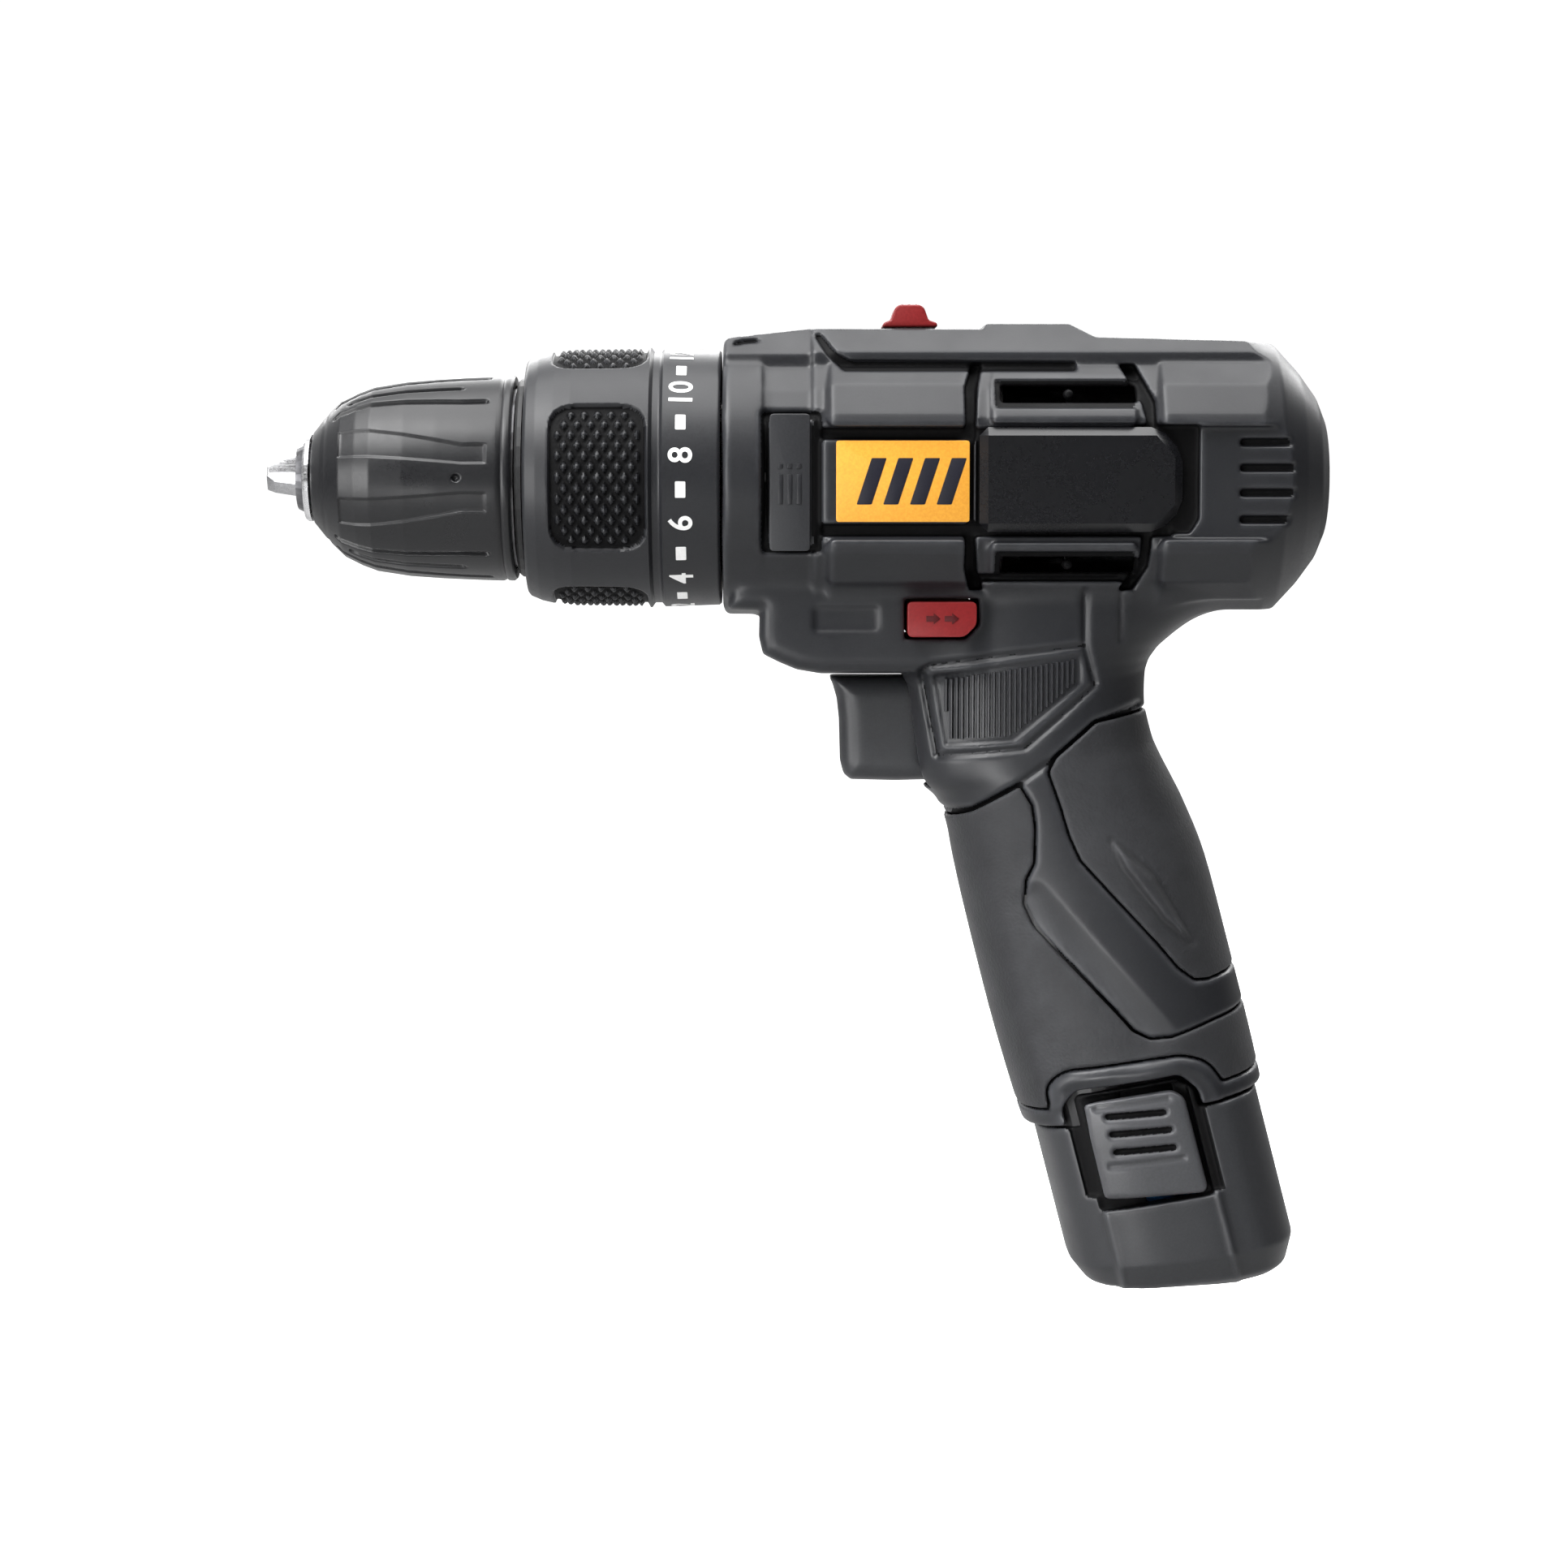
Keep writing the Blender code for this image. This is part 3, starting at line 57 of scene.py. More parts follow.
# ---------------------------------------------------------------- the part's own measures

BARREL_SECTION = [
    (8.0, 27.4), (13.9, 21.9), (14.0, 19.6), (18.4, 15.4), (21.9, 10.4), (22.3, 8.4),
    (22.3, -9.6), (21.6, -12.6), (18.2, -17.4), (13.8, -20.9), (9.0, -23.2),
]
BARREL_SIDE = [
    (-106.4, 23.9), (-105.6, 24.5), (-91.7, 26.1), (-61.0, 26.0), (-60.6, 27.0),
    (-45.8, 27.0), (-41.4, 24.6), (-8.6, 23.7), (1.0, 23.7), (1.0, -23.2), (-106.4, -23.2),
]
REAR_CAP = [
    (0.0, 0.0), (0.0, 10.4), (-1.75, 14.6), (-5.0, 19.0), (-9.3, 23.6), (-20.0, 29.0), (-110.0, 29.0),
    (-110.0, 0.0),
]
UPPER_RIDGE = [
    (12.0, 20.1), (14.2, 20.1), (19.6, 16.1), (23.3, 10.9), (24.0, 8.8), (20.0, 8.8), (12.0, 14.0),
]
LOWER_RIDGE = [
    (12.0, -21.2), (14.6, -21.2), (19.5, -18.0), (23.4, -12.9), (24.0, -10.6), (20.0, -10.6),
    (12.0, -14.0),
]
CHIN_SIDE = [
    (-105.0, -15.0), (-105.6, -23.0), (-100.2, -23.2), (-100.3, -27.8), (-99.6, -30.8),
    (-96.8, -32.2), (-93.7, -33.5), (-89.5, -34.2), (-62.0, -34.2), (-62.0, -15.0),
]
GRIP_SECTIONS = [
    ((-80.0, -18.0), (-14.0, -19.0), 17.0),
    ((-75.8, -34.0), (-29.2, -29.8), 17.8),
    ((-74.0, -46.0), (-31.6, -37.6), 17.9),
    ((-72.4, -53.4), (-30.4, -44.8), 18.1),
    ((-68.8, -56.8), (-28.9, -48.6), 18.5),
    ((-66.8, -61.5), (-26.6, -53.0), 19.0),
    ((-65.6, -67.6), (-24.4, -57.4), 19.6),
    ((-63.4, -77.3), (-20.6, -66.8), 21.0),
    ((-59.0, -94.8), (-16.2, -83.0), 22.2),
    ((-55.3, -107.6), (-12.4, -97.6), 22.8),
    ((-52.9, -115.0), (-10.2, -107.0), 22.8),
]
FRONT_SKIN = [
    (-76.0, -61.5), (-67.3, -59.8), (-62.8, -58.2), (-54.6, -53.4), (-52.3, -57.2), (-51.8, -61.3),
    (-52.0, -67.3), (-53.4, -70.2), (-53.6, -74.5), (-52.0, -78.0), (-47.4, -83.0), (-37.2, -93.6),
    (-34.8, -96.3), (-31.9, -97.6), (-28.3, -97.3), (-20.5, -94.6), (-4.0, -90.5), (-4.0, -102.8),
    (-60.0, -113.2),
]
REAR_SKIN = [
    (-24.0, -37.0), (-31.5, -40.6), (-41.4, -42.5), (-48.5, -48.6), (-49.9, -51.3), (-47.8, -57.2),
    (-46.2, -62.5), (-44.3, -66.7), (-38.3, -73.2), (-30.5, -81.5), (-27.0, -85.6), (-24.1, -87.7),
    (-21.6, -87.8), (-15.9, -86.6), (-4.0, -82.5), (-4.0, -37.0),
]
RIDGE_BLOCK_X, SLOT_X, RIB_X = -47.6, -46.6, -10.6
RIB_HEIGHTS = [6.1, 1.7, -2.6, -7.2]
LENS_WAY = [
    (-104.0, -24.6), (-96.0, -24.6), (-96.0, -31.0), (-97.0, -31.6), (-97.0, -36.0), (-104.0, -36.0),
]
COVER_PLATE = [(-62.4, 8.2), (-30.0, 8.2), (-26.2, 4.4), (-26.2, -5.4), (-30.0, -9.2), (-62.4, -9.2)]
SCREWS = [(-37.4, -37.0), (-88.0, -28.6), (-60.4, -63.0), (-36.5, -55.5)]
TILT = math.radians(14.5)
STICK = Vector((-27.6, 0.0, -125.4))
UP = Vector((-math.sin(TILT), 0.0, math.cos(TILT)))
BACK = Vector((math.cos(TILT), 0.0, math.sin(TILT)))
STICK_AXES = np.array([BACK, (0.0, 1.0, 0.0), UP])
PACK_RINGS = [
    (13.5, 16.6, -18.0, -0.2), (17.8, 20.6, -16.6, -0.12), (20.0, 22.4, -12.0, -0.12),
    (20.0, 22.4, 14.5, -0.068),
]
PACK_DEPTH, PACK_WIDTH = 20.0, 22.4
NOTCH = [(-15.0, -30.0), (8.8, -30.0), (8.8, 17.0), (6.2, 20.6), (-12.0, 21.9), (-15.0, 19.4)]
ARCH = [
    (-17.2, -30.0), (13.0, -30.0), (13.4, 17.0), (11.4, 21.4), (7.4, 23.7), (-13.0, 25.6), (-16.6, 23.6),
    (-17.2, 17.0),
]
BUTTON = [(-12.0, 2.1), (5.4, -0.8), (6.2, 0.0), (6.1, 16.4), (4.3, 18.2), (-11.8, 19.6)]
TRIGGER_SIDE = [
    (-88.6, -34.8), (-87.6, -36.6), (-86.8, -39.4), (-86.4, -43.0), (-86.3, -47.0), (-86.2, -50.6),
    (-85.6, -52.8), (-84.2, -54.0), (-76.0, -54.2), (-69.0, -54.0), (-69.0, -34.8),
]
TRIGGER_WAY = [
    (-95.0, -34.3), (-75.0, -34.3), (-74.2, -40.0), (-72.9, -47.0), (-72.2, -52.0), (-71.4, -55.2),
    (-95.0, -55.2),
]
COLLAR_OUT = [
    (-141.3, 20.5), (-140.9, 21.0), (-139.0, 21.8), (-136.0, 22.5), (-133.0, 22.9), (-119.4, 23.05),
    (-118.8, 22.2), (-117.6, 22.2), (-117.0, 22.9), (-107.4, 22.6), (-107.0, 22.3),
]
SLEEVE_OUT = [
    (-179.6, 7.5), (-179.4, 8.2), (-177.0, 11.2), (-174.0, 14.1), (-171.0, 15.6), (-168.3, 16.6),
    (-162.4, 17.5), (-156.6, 17.9), (-150.8, 18.15), (-146.5, 18.3), (-144.0, 18.3), (-143.5, 17.9),
]


SIDES = (("left", -1.0), ("right", 1.0))
# Where x = 0, z = 0 lies in the picture, its scale, the point it looks at, and how much nearer the flank is
PICTURE_ZERO = (1624.0, 590.0)
MM_PER_PIXEL = 0.1458
LOOKED_AT = (-95.9, -2.0)
NEARER = 0.97


def flank(points):
    """Points (x, z) of the near side from picture coordinates, brought to their place behind perspective."""
    result = []
    for px, py in points:
        x, z = (px - PICTURE_ZERO[0]) * MM_PER_PIXEL, (PICTURE_ZERO[1] - py) * MM_PER_PIXEL
        result.append((
            LOOKED_AT[0] + (x - LOOKED_AT[0]) * NEARER, LOOKED_AT[1] + (z - LOOKED_AT[1]) * NEARER,
        ))
    return result


def box(a0, b0, a1, b1):
    return [(a0, b0), (a1, b0), (a1, b1), (a0, b1)]


# ---------------------------------------------------------------- fields


def segments(points, a, b):
    """For each straight part of a line of points: its ends, and every place's squared distance from it."""
    for (ax, ay), (bx, by) in zip(points, points[1:]):
        ex, ey = bx - ax, by - ay
        wx, wy = a - ax, b - ay
        t = np.clip((wx * ex + wy * ey) / (ex * ex + ey * ey), 0.0, 1.0)
        yield (ax, ay, bx, by), (wx - ex * t) ** 2 + (wy - ey * t) ** 2


def poly_sd(points, a, b):
    """Signed distance to a closed outline, negative inside."""
    a, b = np.broadcast_arrays(np.asarray(a, np.float32), np.asarray(b, np.float32))
    nearest = np.full(a.shape, 1e9, np.float32)
    inside = np.zeros(a.shape, bool)
    for (ax, ay, bx, by), squared in segments(points + points[:1], a, b):
        nearest = np.minimum(nearest, squared)
        if ay != by:
            crossing = ((ay <= b) & (b < by)) | ((by <= b) & (b < ay))
            inside ^= crossing & (ax + (b - ay) / (by - ay) * (bx - ax) > a)
    distance = np.sqrt(nearest)
    return np.where(inside, -distance, distance).astype(np.float32)


def line_d(points, a, b):
    """Distance to an open line of points."""
    nearest = np.full(np.broadcast(a, b).shape, 1e9, np.float32)
    for _, squared in segments(points, a, b):
        nearest = np.minimum(nearest, squared)
    return np.sqrt(nearest)


def step(value, width):
    """1 where value is below -width, 0 above width, smooth between."""
    t = np.clip(0.5 - value / (2.0 * width), 0.0, 1.0)
    return t * t * (3.0 - 2.0 * t)


def smin(a, b, radius):
    """The union of two fields with a fillet."""
    h = np.maximum(radius - np.abs(a - b), 0.0) / radius
    return np.minimum(a, b) - h * h * radius * 0.25


def smax(a, b, radius):
    """The part two fields share, with a rounded edge."""
    return -smin(-a, -b, radius)


def meet(*fields):
    """What all the fields share."""
    return functools.reduce(np.maximum, fields)


def oval(e, y, depth, width):
    """The pack's cross-section: 0 on the outline and -1 in the middle."""
    return ((np.abs(e) / depth) ** 3 + (np.abs(y) / width) ** 3) ** (1.0 / 3.0) - 1.0


def blurred(field, sigma):
    """A Gaussian blur in voxels along every axis, which rounds all edges alike."""
    reach = max(1, int(math.ceil(sigma * 2.5)))
    taps = np.exp(-0.5 * (np.arange(-reach, reach + 1) / sigma) ** 2)
    taps /= taps.sum()
    for axis in range(field.ndim):
        moved = np.moveaxis(field, axis, 0)
        padded = np.concatenate([moved[:1]] * reach + [moved] + [moved[-1:]] * reach)
        total = np.zeros_like(moved)
        for k, tap in enumerate(taps):
            total += np.float32(tap) * padded[k:k + moved.shape[0]]
        field = np.moveaxis(total, 0, axis)
    return np.ascontiguousarray(field)


def surface_net(field, origin, size):
    """Vertices (mm) and quads of the zero level of a field on a grid."""
    inside = field < 0.0
    cell = tuple(n - 1 for n in field.shape)
    corners = [(i, j, k) for i in (0, 1) for j in (0, 1) for k in (0, 1)]
    count = np.zeros(cell, np.int8)
    for i, j, k in corners:
        count += inside[i:i + cell[0], j:j + cell[1], k:k + cell[2]]
    active = np.argwhere((count > 0) & (count < 8))
    number = np.full(cell, -1, np.int32)
    number[tuple(active.T)] = np.arange(len(active), dtype=np.int32)
    value = {c: field[active[:, 0] + c[0], active[:, 1] + c[1], active[:, 2] + c[2]] for c in corners}
    total = np.zeros((len(active), 3))
    hits = np.zeros(len(active))
    for c in corners:
        for axis in range(3):
            if c[axis]:
                continue
            d = list(c)
            d[axis] = 1
            first, second = value[c], value[tuple(d)]
            crossed = (first < 0.0) != (second < 0.0)
            t = np.where(crossed, first / np.where(crossed, first - second, 1.0), 0.0)
            point = np.tile(np.array(c, float), (len(active), 1))
            point[:, axis] = t
            total += point * crossed[:, None]
            hits += crossed
    verts = (active + total / hits[:, None]) * size + np.array(origin)
    quads = []
    for axis in range(3):
        a, b = [(1, 2), (2, 0), (0, 1)][axis]
        low = [slice(None)] * 3
        high = [slice(None)] * 3
        low[axis], high[axis] = slice(0, -1), slice(1, None)
        starts = inside[tuple(low)]
        edge = np.argwhere(starts != inside[tuple(high)])
        keep = (edge[:, a] > 0) & (edge[:, b] > 0)
        keep &= (edge[:, a] < field.shape[a] - 1) & (edge[:, b] < field.shape[b] - 1)
        edge = edge[keep]
        outward = starts[tuple(edge.T)]
        ring = []
        for da, db in ((-1, -1), (0, -1), (0, 0), (-1, 0)):
            place = edge.copy()
            place[:, a] += da
            place[:, b] += db
            ring.append(number[tuple(place.T)])
        quad = np.stack(ring, axis=1)
        quad[~outward] = quad[~outward][:, ::-1]
        quads.append(quad)
    return verts, np.concatenate(quads)


# ---------------------------------------------------------------- meshes


def linked(name, data):
    thing = bpy.data.objects.new(name, data)
    bpy.context.scene.collection.objects.link(thing)
    return thing


def mesh_object(name, verts, faces):
    """An object from arrays of vertices (mm) and of faces with equally many corners."""
    mesh = bpy.data.meshes.new(name)
    verts = np.asarray(verts, np.float32) * MM
    faces = np.asarray(faces, np.int32)
    mesh.vertices.add(len(verts))
    mesh.vertices.foreach_set("co", verts.ravel())
    mesh.loops.add(faces.size)
    mesh.loops.foreach_set("vertex_index", faces.ravel())
    mesh.polygons.add(len(faces))
    mesh.polygons.foreach_set("loop_start", np.arange(len(faces), dtype=np.int32) * faces.shape[1])
    mesh.polygons.foreach_set("use_smooth", np.full(len(faces), True))
    mesh.update(calc_edges=True)
    mesh.validate()
    return linked(name, mesh)


def applied(thing):
    """Puts the result of the object's modifiers into its mesh."""
    bpy.context.view_layer.update()
    evaluated = thing.evaluated_get(bpy.context.evaluated_depsgraph_get())
    mesh = bpy.data.meshes.new_from_object(evaluated)
    thing.modifiers.clear()
    thing.data = mesh
    return thing


def sampled(field, verts, origin, size):
    """Values of a field at points, linear between grid points."""
    place = (verts - np.array(origin)) / size
    place = np.clip(place, 0.0, np.array(field.shape) - 1.001)
    low = place.astype(int)
    part = place - low
    total = np.zeros(len(verts))
    for i, j, k in ((i, j, k) for i in (0, 1) for j in (0, 1) for k in (0, 1)):
        weight = np.abs(1 - i - part[:, 0]) * np.abs(1 - j - part[:, 1]) * np.abs(1 - k - part[:, 2])
        total += weight * field[low[:, 0] + i, low[:, 1] + j, low[:, 2] + k]
    return total


def put_wear(thing, values):
    """How far each vertex stands out as an edge, from 0 to 1, which the materials read as wear."""
    attribute = thing.data.attributes.new("wear", "FLOAT", "POINT")
    attribute.data.foreach_set("value", np.asarray(values, np.float32))


def field_object(name, field, origin, size, side=1.0, calm=None, keep=0.25, tilted=False):
    """The zero level as an object, mirrored across y = 0 for side -1, and thinned out where calm says so."""
    verts, quads = surface_net(field, origin, size)
    wear = np.clip(sampled(blurred(field, 1.6), verts, origin, size) * 3.2 - 0.12, 0.0, 1.0)
    if side < 0.0:
        verts = verts * np.array([1.0, -1.0, 1.0])
        quads = quads[:, ::-1]
    if tilted:
        verts = np.array(STICK) + verts @ STICK_AXES
    thing = mesh_object(name, verts, quads)
    put_wear(thing, wear)
    if calm is not None:
        mask = calm(verts * np.array([1.0, side, 1.0]))
        group = thing.vertex_groups.new(name="calm")
        group.add(np.flatnonzero(mask).tolist(), 1.0, "REPLACE")
        thin = thing.modifiers.new("thin", "DECIMATE")
        thin.ratio = 1.0 - (1.0 - keep) * float(mask.mean())
        thin.vertex_group = "calm"
        thin.vertex_group_factor = 10.0
        applied(thing)
        thing.vertex_groups.clear()
        thing.data.shade_smooth()
    return thing


def along_y(a, b, h):
    return Vector((a, h, b))


def prism(name, outline, low, high, rounding=0.0, segments=3, corner=0.0, place=along_y):
    """An outline extruded from low to high with rounded edges, and with rounded corners first."""
    if corner:
        outline = rounded(outline, corner)
    shape = bmesh.new()
    rings = [[shape.verts.new(place(a, b, h) * MM) for a, b in outline] for h in (low, high)]
    count = len(outline)
    for k in range(count):
        n = (k + 1) % count
        shape.faces.new((rings[0][k], rings[0][n], rings[1][n], rings[1][k]))
    shape.faces.new(rings[0][::-1])
    shape.faces.new(rings[1])
    bmesh.ops.recalc_face_normals(shape, faces=shape.faces)
    if rounding:
        edges = [e for e in shape.edges if e.calc_face_angle(0.0) > math.radians(22.0)]
        bmesh.ops.bevel(
            shape, geom=edges, offset=rounding * MM, segments=segments, profile=0.5, affect="EDGES",
            clamp_overlap=True,
        )
    return shape_object(name, shape)


def flank_prism(name, outline, side, inner, outer, *rounding):
    """A prism on one flank, between two distances from the middle plane."""
    return prism(name, outline, *sorted((side * inner, side * outer)), *rounding)


def shape_object(name, shape, sharp=35.0):
    """Closes a bmesh into a smooth object with sharp edges where it turns by more than the angle."""
    mesh = bpy.data.meshes.new(name)
    bmesh.ops.recalc_face_normals(shape, faces=shape.faces)
    shape.to_mesh(mesh)
    shape.free()
    mesh.shade_smooth()
    mesh.set_sharp_from_angle(angle=math.radians(sharp))
    return linked(name, mesh)


def rounded(outline, radius, steps=4):
    """The outline with each corner replaced by a curve that starts radius before it."""
    result = []
    count = len(outline)
    for k in range(count):
        before, here, after = (Vector(outline[(k + d) % count]) for d in (-1, 0, 1))
        back, on = before - here, after - here
        reach = min(radius, back.length * 0.45, on.length * 0.45)
        first, last = here + back.normalized() * reach, here + on.normalized() * reach
        for n in range(steps + 1):
            t = n / steps
            result.append(tuple(first * (1 - t) ** 2 + here * 2 * t * (1 - t) + last * t * t))
    return result


def cylinder_grid(name, outer, inner, turns, spacing, relief=None):
    """A turned shell about X: a dense outer profile moved by relief(x, angle), and a plain inner one."""
    xs = [outer[0][0]]
    for (x0, _), (x1, _) in zip(outer, outer[1:]):
        n = max(1, int(round(abs(x1 - x0) / spacing)))
        xs += [x0 + (x1 - x0) * k / n for k in range(1, n + 1)]
    xs = np.array(xs)
    radii = np.interp(xs, *zip(*outer))
    angle = np.arange(turns) * 2.0 * math.pi / turns
    r = np.repeat(radii[:, None], turns, 1)
    if relief is not None:
        r = r + relief(xs[:, None], angle[None, :])
    rows = [np.stack([np.repeat(xs[:, None], turns, 1), r * np.cos(angle), r * np.sin(angle)], -1)]
    for x, radius in inner:
        ring = np.stack([np.full(turns, x), radius * np.cos(angle), radius * np.sin(angle)], -1)
        rows.append(ring[None])
    points = np.concatenate(rows)
    index = np.arange(len(points) * turns).reshape(-1, turns)
    upper = np.roll(index, -1, axis=0)
    faces = np.stack([index, np.roll(index, -1, 1), np.roll(upper, -1, 1), upper], -1).reshape(-1, 4)
    return turned_outward(mesh_object(name, points.reshape(-1, 3), faces))


def turned_outward(thing):
    """Sets the faces' directions and keeps the steeper edges sharp."""
    shape = bmesh.new()
    shape.from_mesh(thing.data)
    bmesh.ops.recalc_face_normals(shape, faces=shape.faces)
    shape.to_mesh(thing.data)
    shape.free()
    thing.data.set_sharp_from_angle(angle=math.radians(50.0))
    return thing


def joined(things, name):
    """One object from several meshes."""
    shape = bmesh.new()
    for thing in things:
        shape.from_mesh(thing.data)
        bpy.data.objects.remove(thing, do_unlink=True)
    mesh = bpy.data.meshes.new(name)
    shape.to_mesh(mesh)
    shape.free()
    return linked(name, mesh)


def darken(thing, deep):
    """A second material, painted shade for sunk places, on the faces marked in deep."""
    thing.data.materials.append(LOOKS["recess"])
    thing.data.polygons.foreach_set("material_index", np.asarray(deep, np.int32))


def face_centres(thing):
    centres = np.empty(len(thing.data.polygons) * 3)
    thing.data.polygons.foreach_get("center", centres)
    return centres.reshape(-1, 3) / MM


# ---------------------------------------------------------------- materials

def new_node(tree, kind, source, entry, **values):
    """A shader node with numbers set on its sockets and source linked to the one named entry."""
    node = tree.nodes.new(kind)
    for name, value in values.items():
        node.inputs[name.replace("_", " ")].default_value = value
    tree.links.new(source, node.inputs[entry])
    return node


def ramp(tree, source, low, high, dark, light):
    ends = {"From_Min": low, "From_Max": high, "To_Min": dark, "To_Max": light}
    return new_node(tree, "ShaderNodeMapRange", source, "Value", **ends).outputs["Result"]


def noise(tree, place, scale, detail=3.0, roughness=0.55):
    values = {"Scale": scale, "Detail": detail, "Roughness": roughness}
    return new_node(tree, "ShaderNodeTexNoise", place, "Vector", **values).outputs["Fac"]


def mixed(tree, factor, first, second):
    node = tree.nodes.new("ShaderNodeMix")
    node.data_type = "RGBA"
    tree.links.new(factor, node.inputs["Factor"])
    for socket, value in ((node.inputs["A"], first), (node.inputs["B"], second)):
        if isinstance(value, tuple):
            socket.default_value = (*value, 1.0)
        else:
            tree.links.new(value, socket)
    return node.outputs["Result"]


def combined(tree, operation, first, second):
    node = tree.nodes.new("ShaderNodeMath")
    node.operation = operation
    for socket, value in zip(node.inputs, (first, second)):
        if isinstance(value, (int, float)):
            socket.default_value = value
        else:
            tree.links.new(value, socket)
    return node.outputs["Value"]


def surface(
    name, colour, shade, roughness, grain=2400.0, depth=0.00004, strength=0.35, metallic=0.0, edge=None,
    edge_at=None, specular=0.5, pebble=0.0, brushed=None, coat=0.0, sheen=0.0, transmission=0.0,
    smudge=0.08,
):
    """A material of mottled colour, uneven gloss, fine grain and lighter worn edges."""
    material = bpy.data.materials.new(name)
    material.use_nodes = True
    tree = material.node_tree
    shader = tree.nodes["Principled BSDF"]
    place = tree.nodes.new("ShaderNodeTexCoord").outputs["Object"]
    broad = noise(tree, place, 70.0, 4.0)
    fine = noise(tree, place, grain, 2.0)
    hue = mixed(tree, ramp(tree, broad, 0.3, 0.7, 0.0, 1.0), colour, shade)
    speck = ramp(tree, fine, 0.35, 0.75, 0.0, 0.35)
    hue = mixed(tree, speck, hue, tuple(min(1.0, c * 1.5 + 0.001) for c in colour))
    if edge is not None:
        if edge_at is None:
            mark = tree.nodes.new("ShaderNodeAttribute")
            mark.attribute_name = "wear"
            worn = mark.outputs["Fac"]
        else:
            edges = tree.nodes.new("ShaderNodeNewGeometry").outputs["Pointiness"]
            worn = ramp(tree, edges, *edge_at, 0.0, 1.0)
        worn = combined(tree, "MULTIPLY", worn, ramp(tree, noise(tree, place, 240.0), 0.25, 0.7, 0.25, 1.0))
        hue = mixed(tree, worn, hue, edge)
    tree.links.new(hue, shader.inputs["Base Color"])
    gloss = ramp(tree, broad, 0.25, 0.75, roughness - smudge, roughness + smudge)
    gloss = combined(tree, "ADD", gloss, ramp(tree, fine, 0.3, 0.7, -0.4 * smudge, 0.4 * smudge))
    if brushed is not None:
        stretch = new_node(tree, "ShaderNodeMapping", place, "Vector", Scale=brushed)
        height = noise(tree, stretch.outputs["Vector"], 1.0, 3.0, 0.6)
        gloss = combined(tree, "ADD", gloss, ramp(tree, height, 0.3, 0.7, -0.08, 0.1))
    else:
        height = fine
        if pebble:
            cells = new_node(tree, "ShaderNodeTexVoronoi", place, "Vector", Scale=pebble)
            height = combined(tree, "ADD", ramp(tree, cells.outputs["Distance"], 0.0, 0.7, 1.0, 0.0), fine)
    tree.links.new(gloss, shader.inputs["Roughness"])
    bump = new_node(tree, "ShaderNodeBump", height, "Height", Strength=strength, Distance=depth)
    tree.links.new(bump.outputs["Normal"], shader.inputs["Normal"])
    for socket, value in (
        ("Metallic", metallic), ("Specular IOR Level", specular), ("Coat Weight", coat),
        ("Coat Roughness", 0.25), ("Sheen Weight", sheen), ("Sheen Roughness", 0.5),
        ("Transmission Weight", transmission),
    ):
        shader.inputs[socket].default_value = value
    return material


METAL_EDGE = (0.52, 0.6)
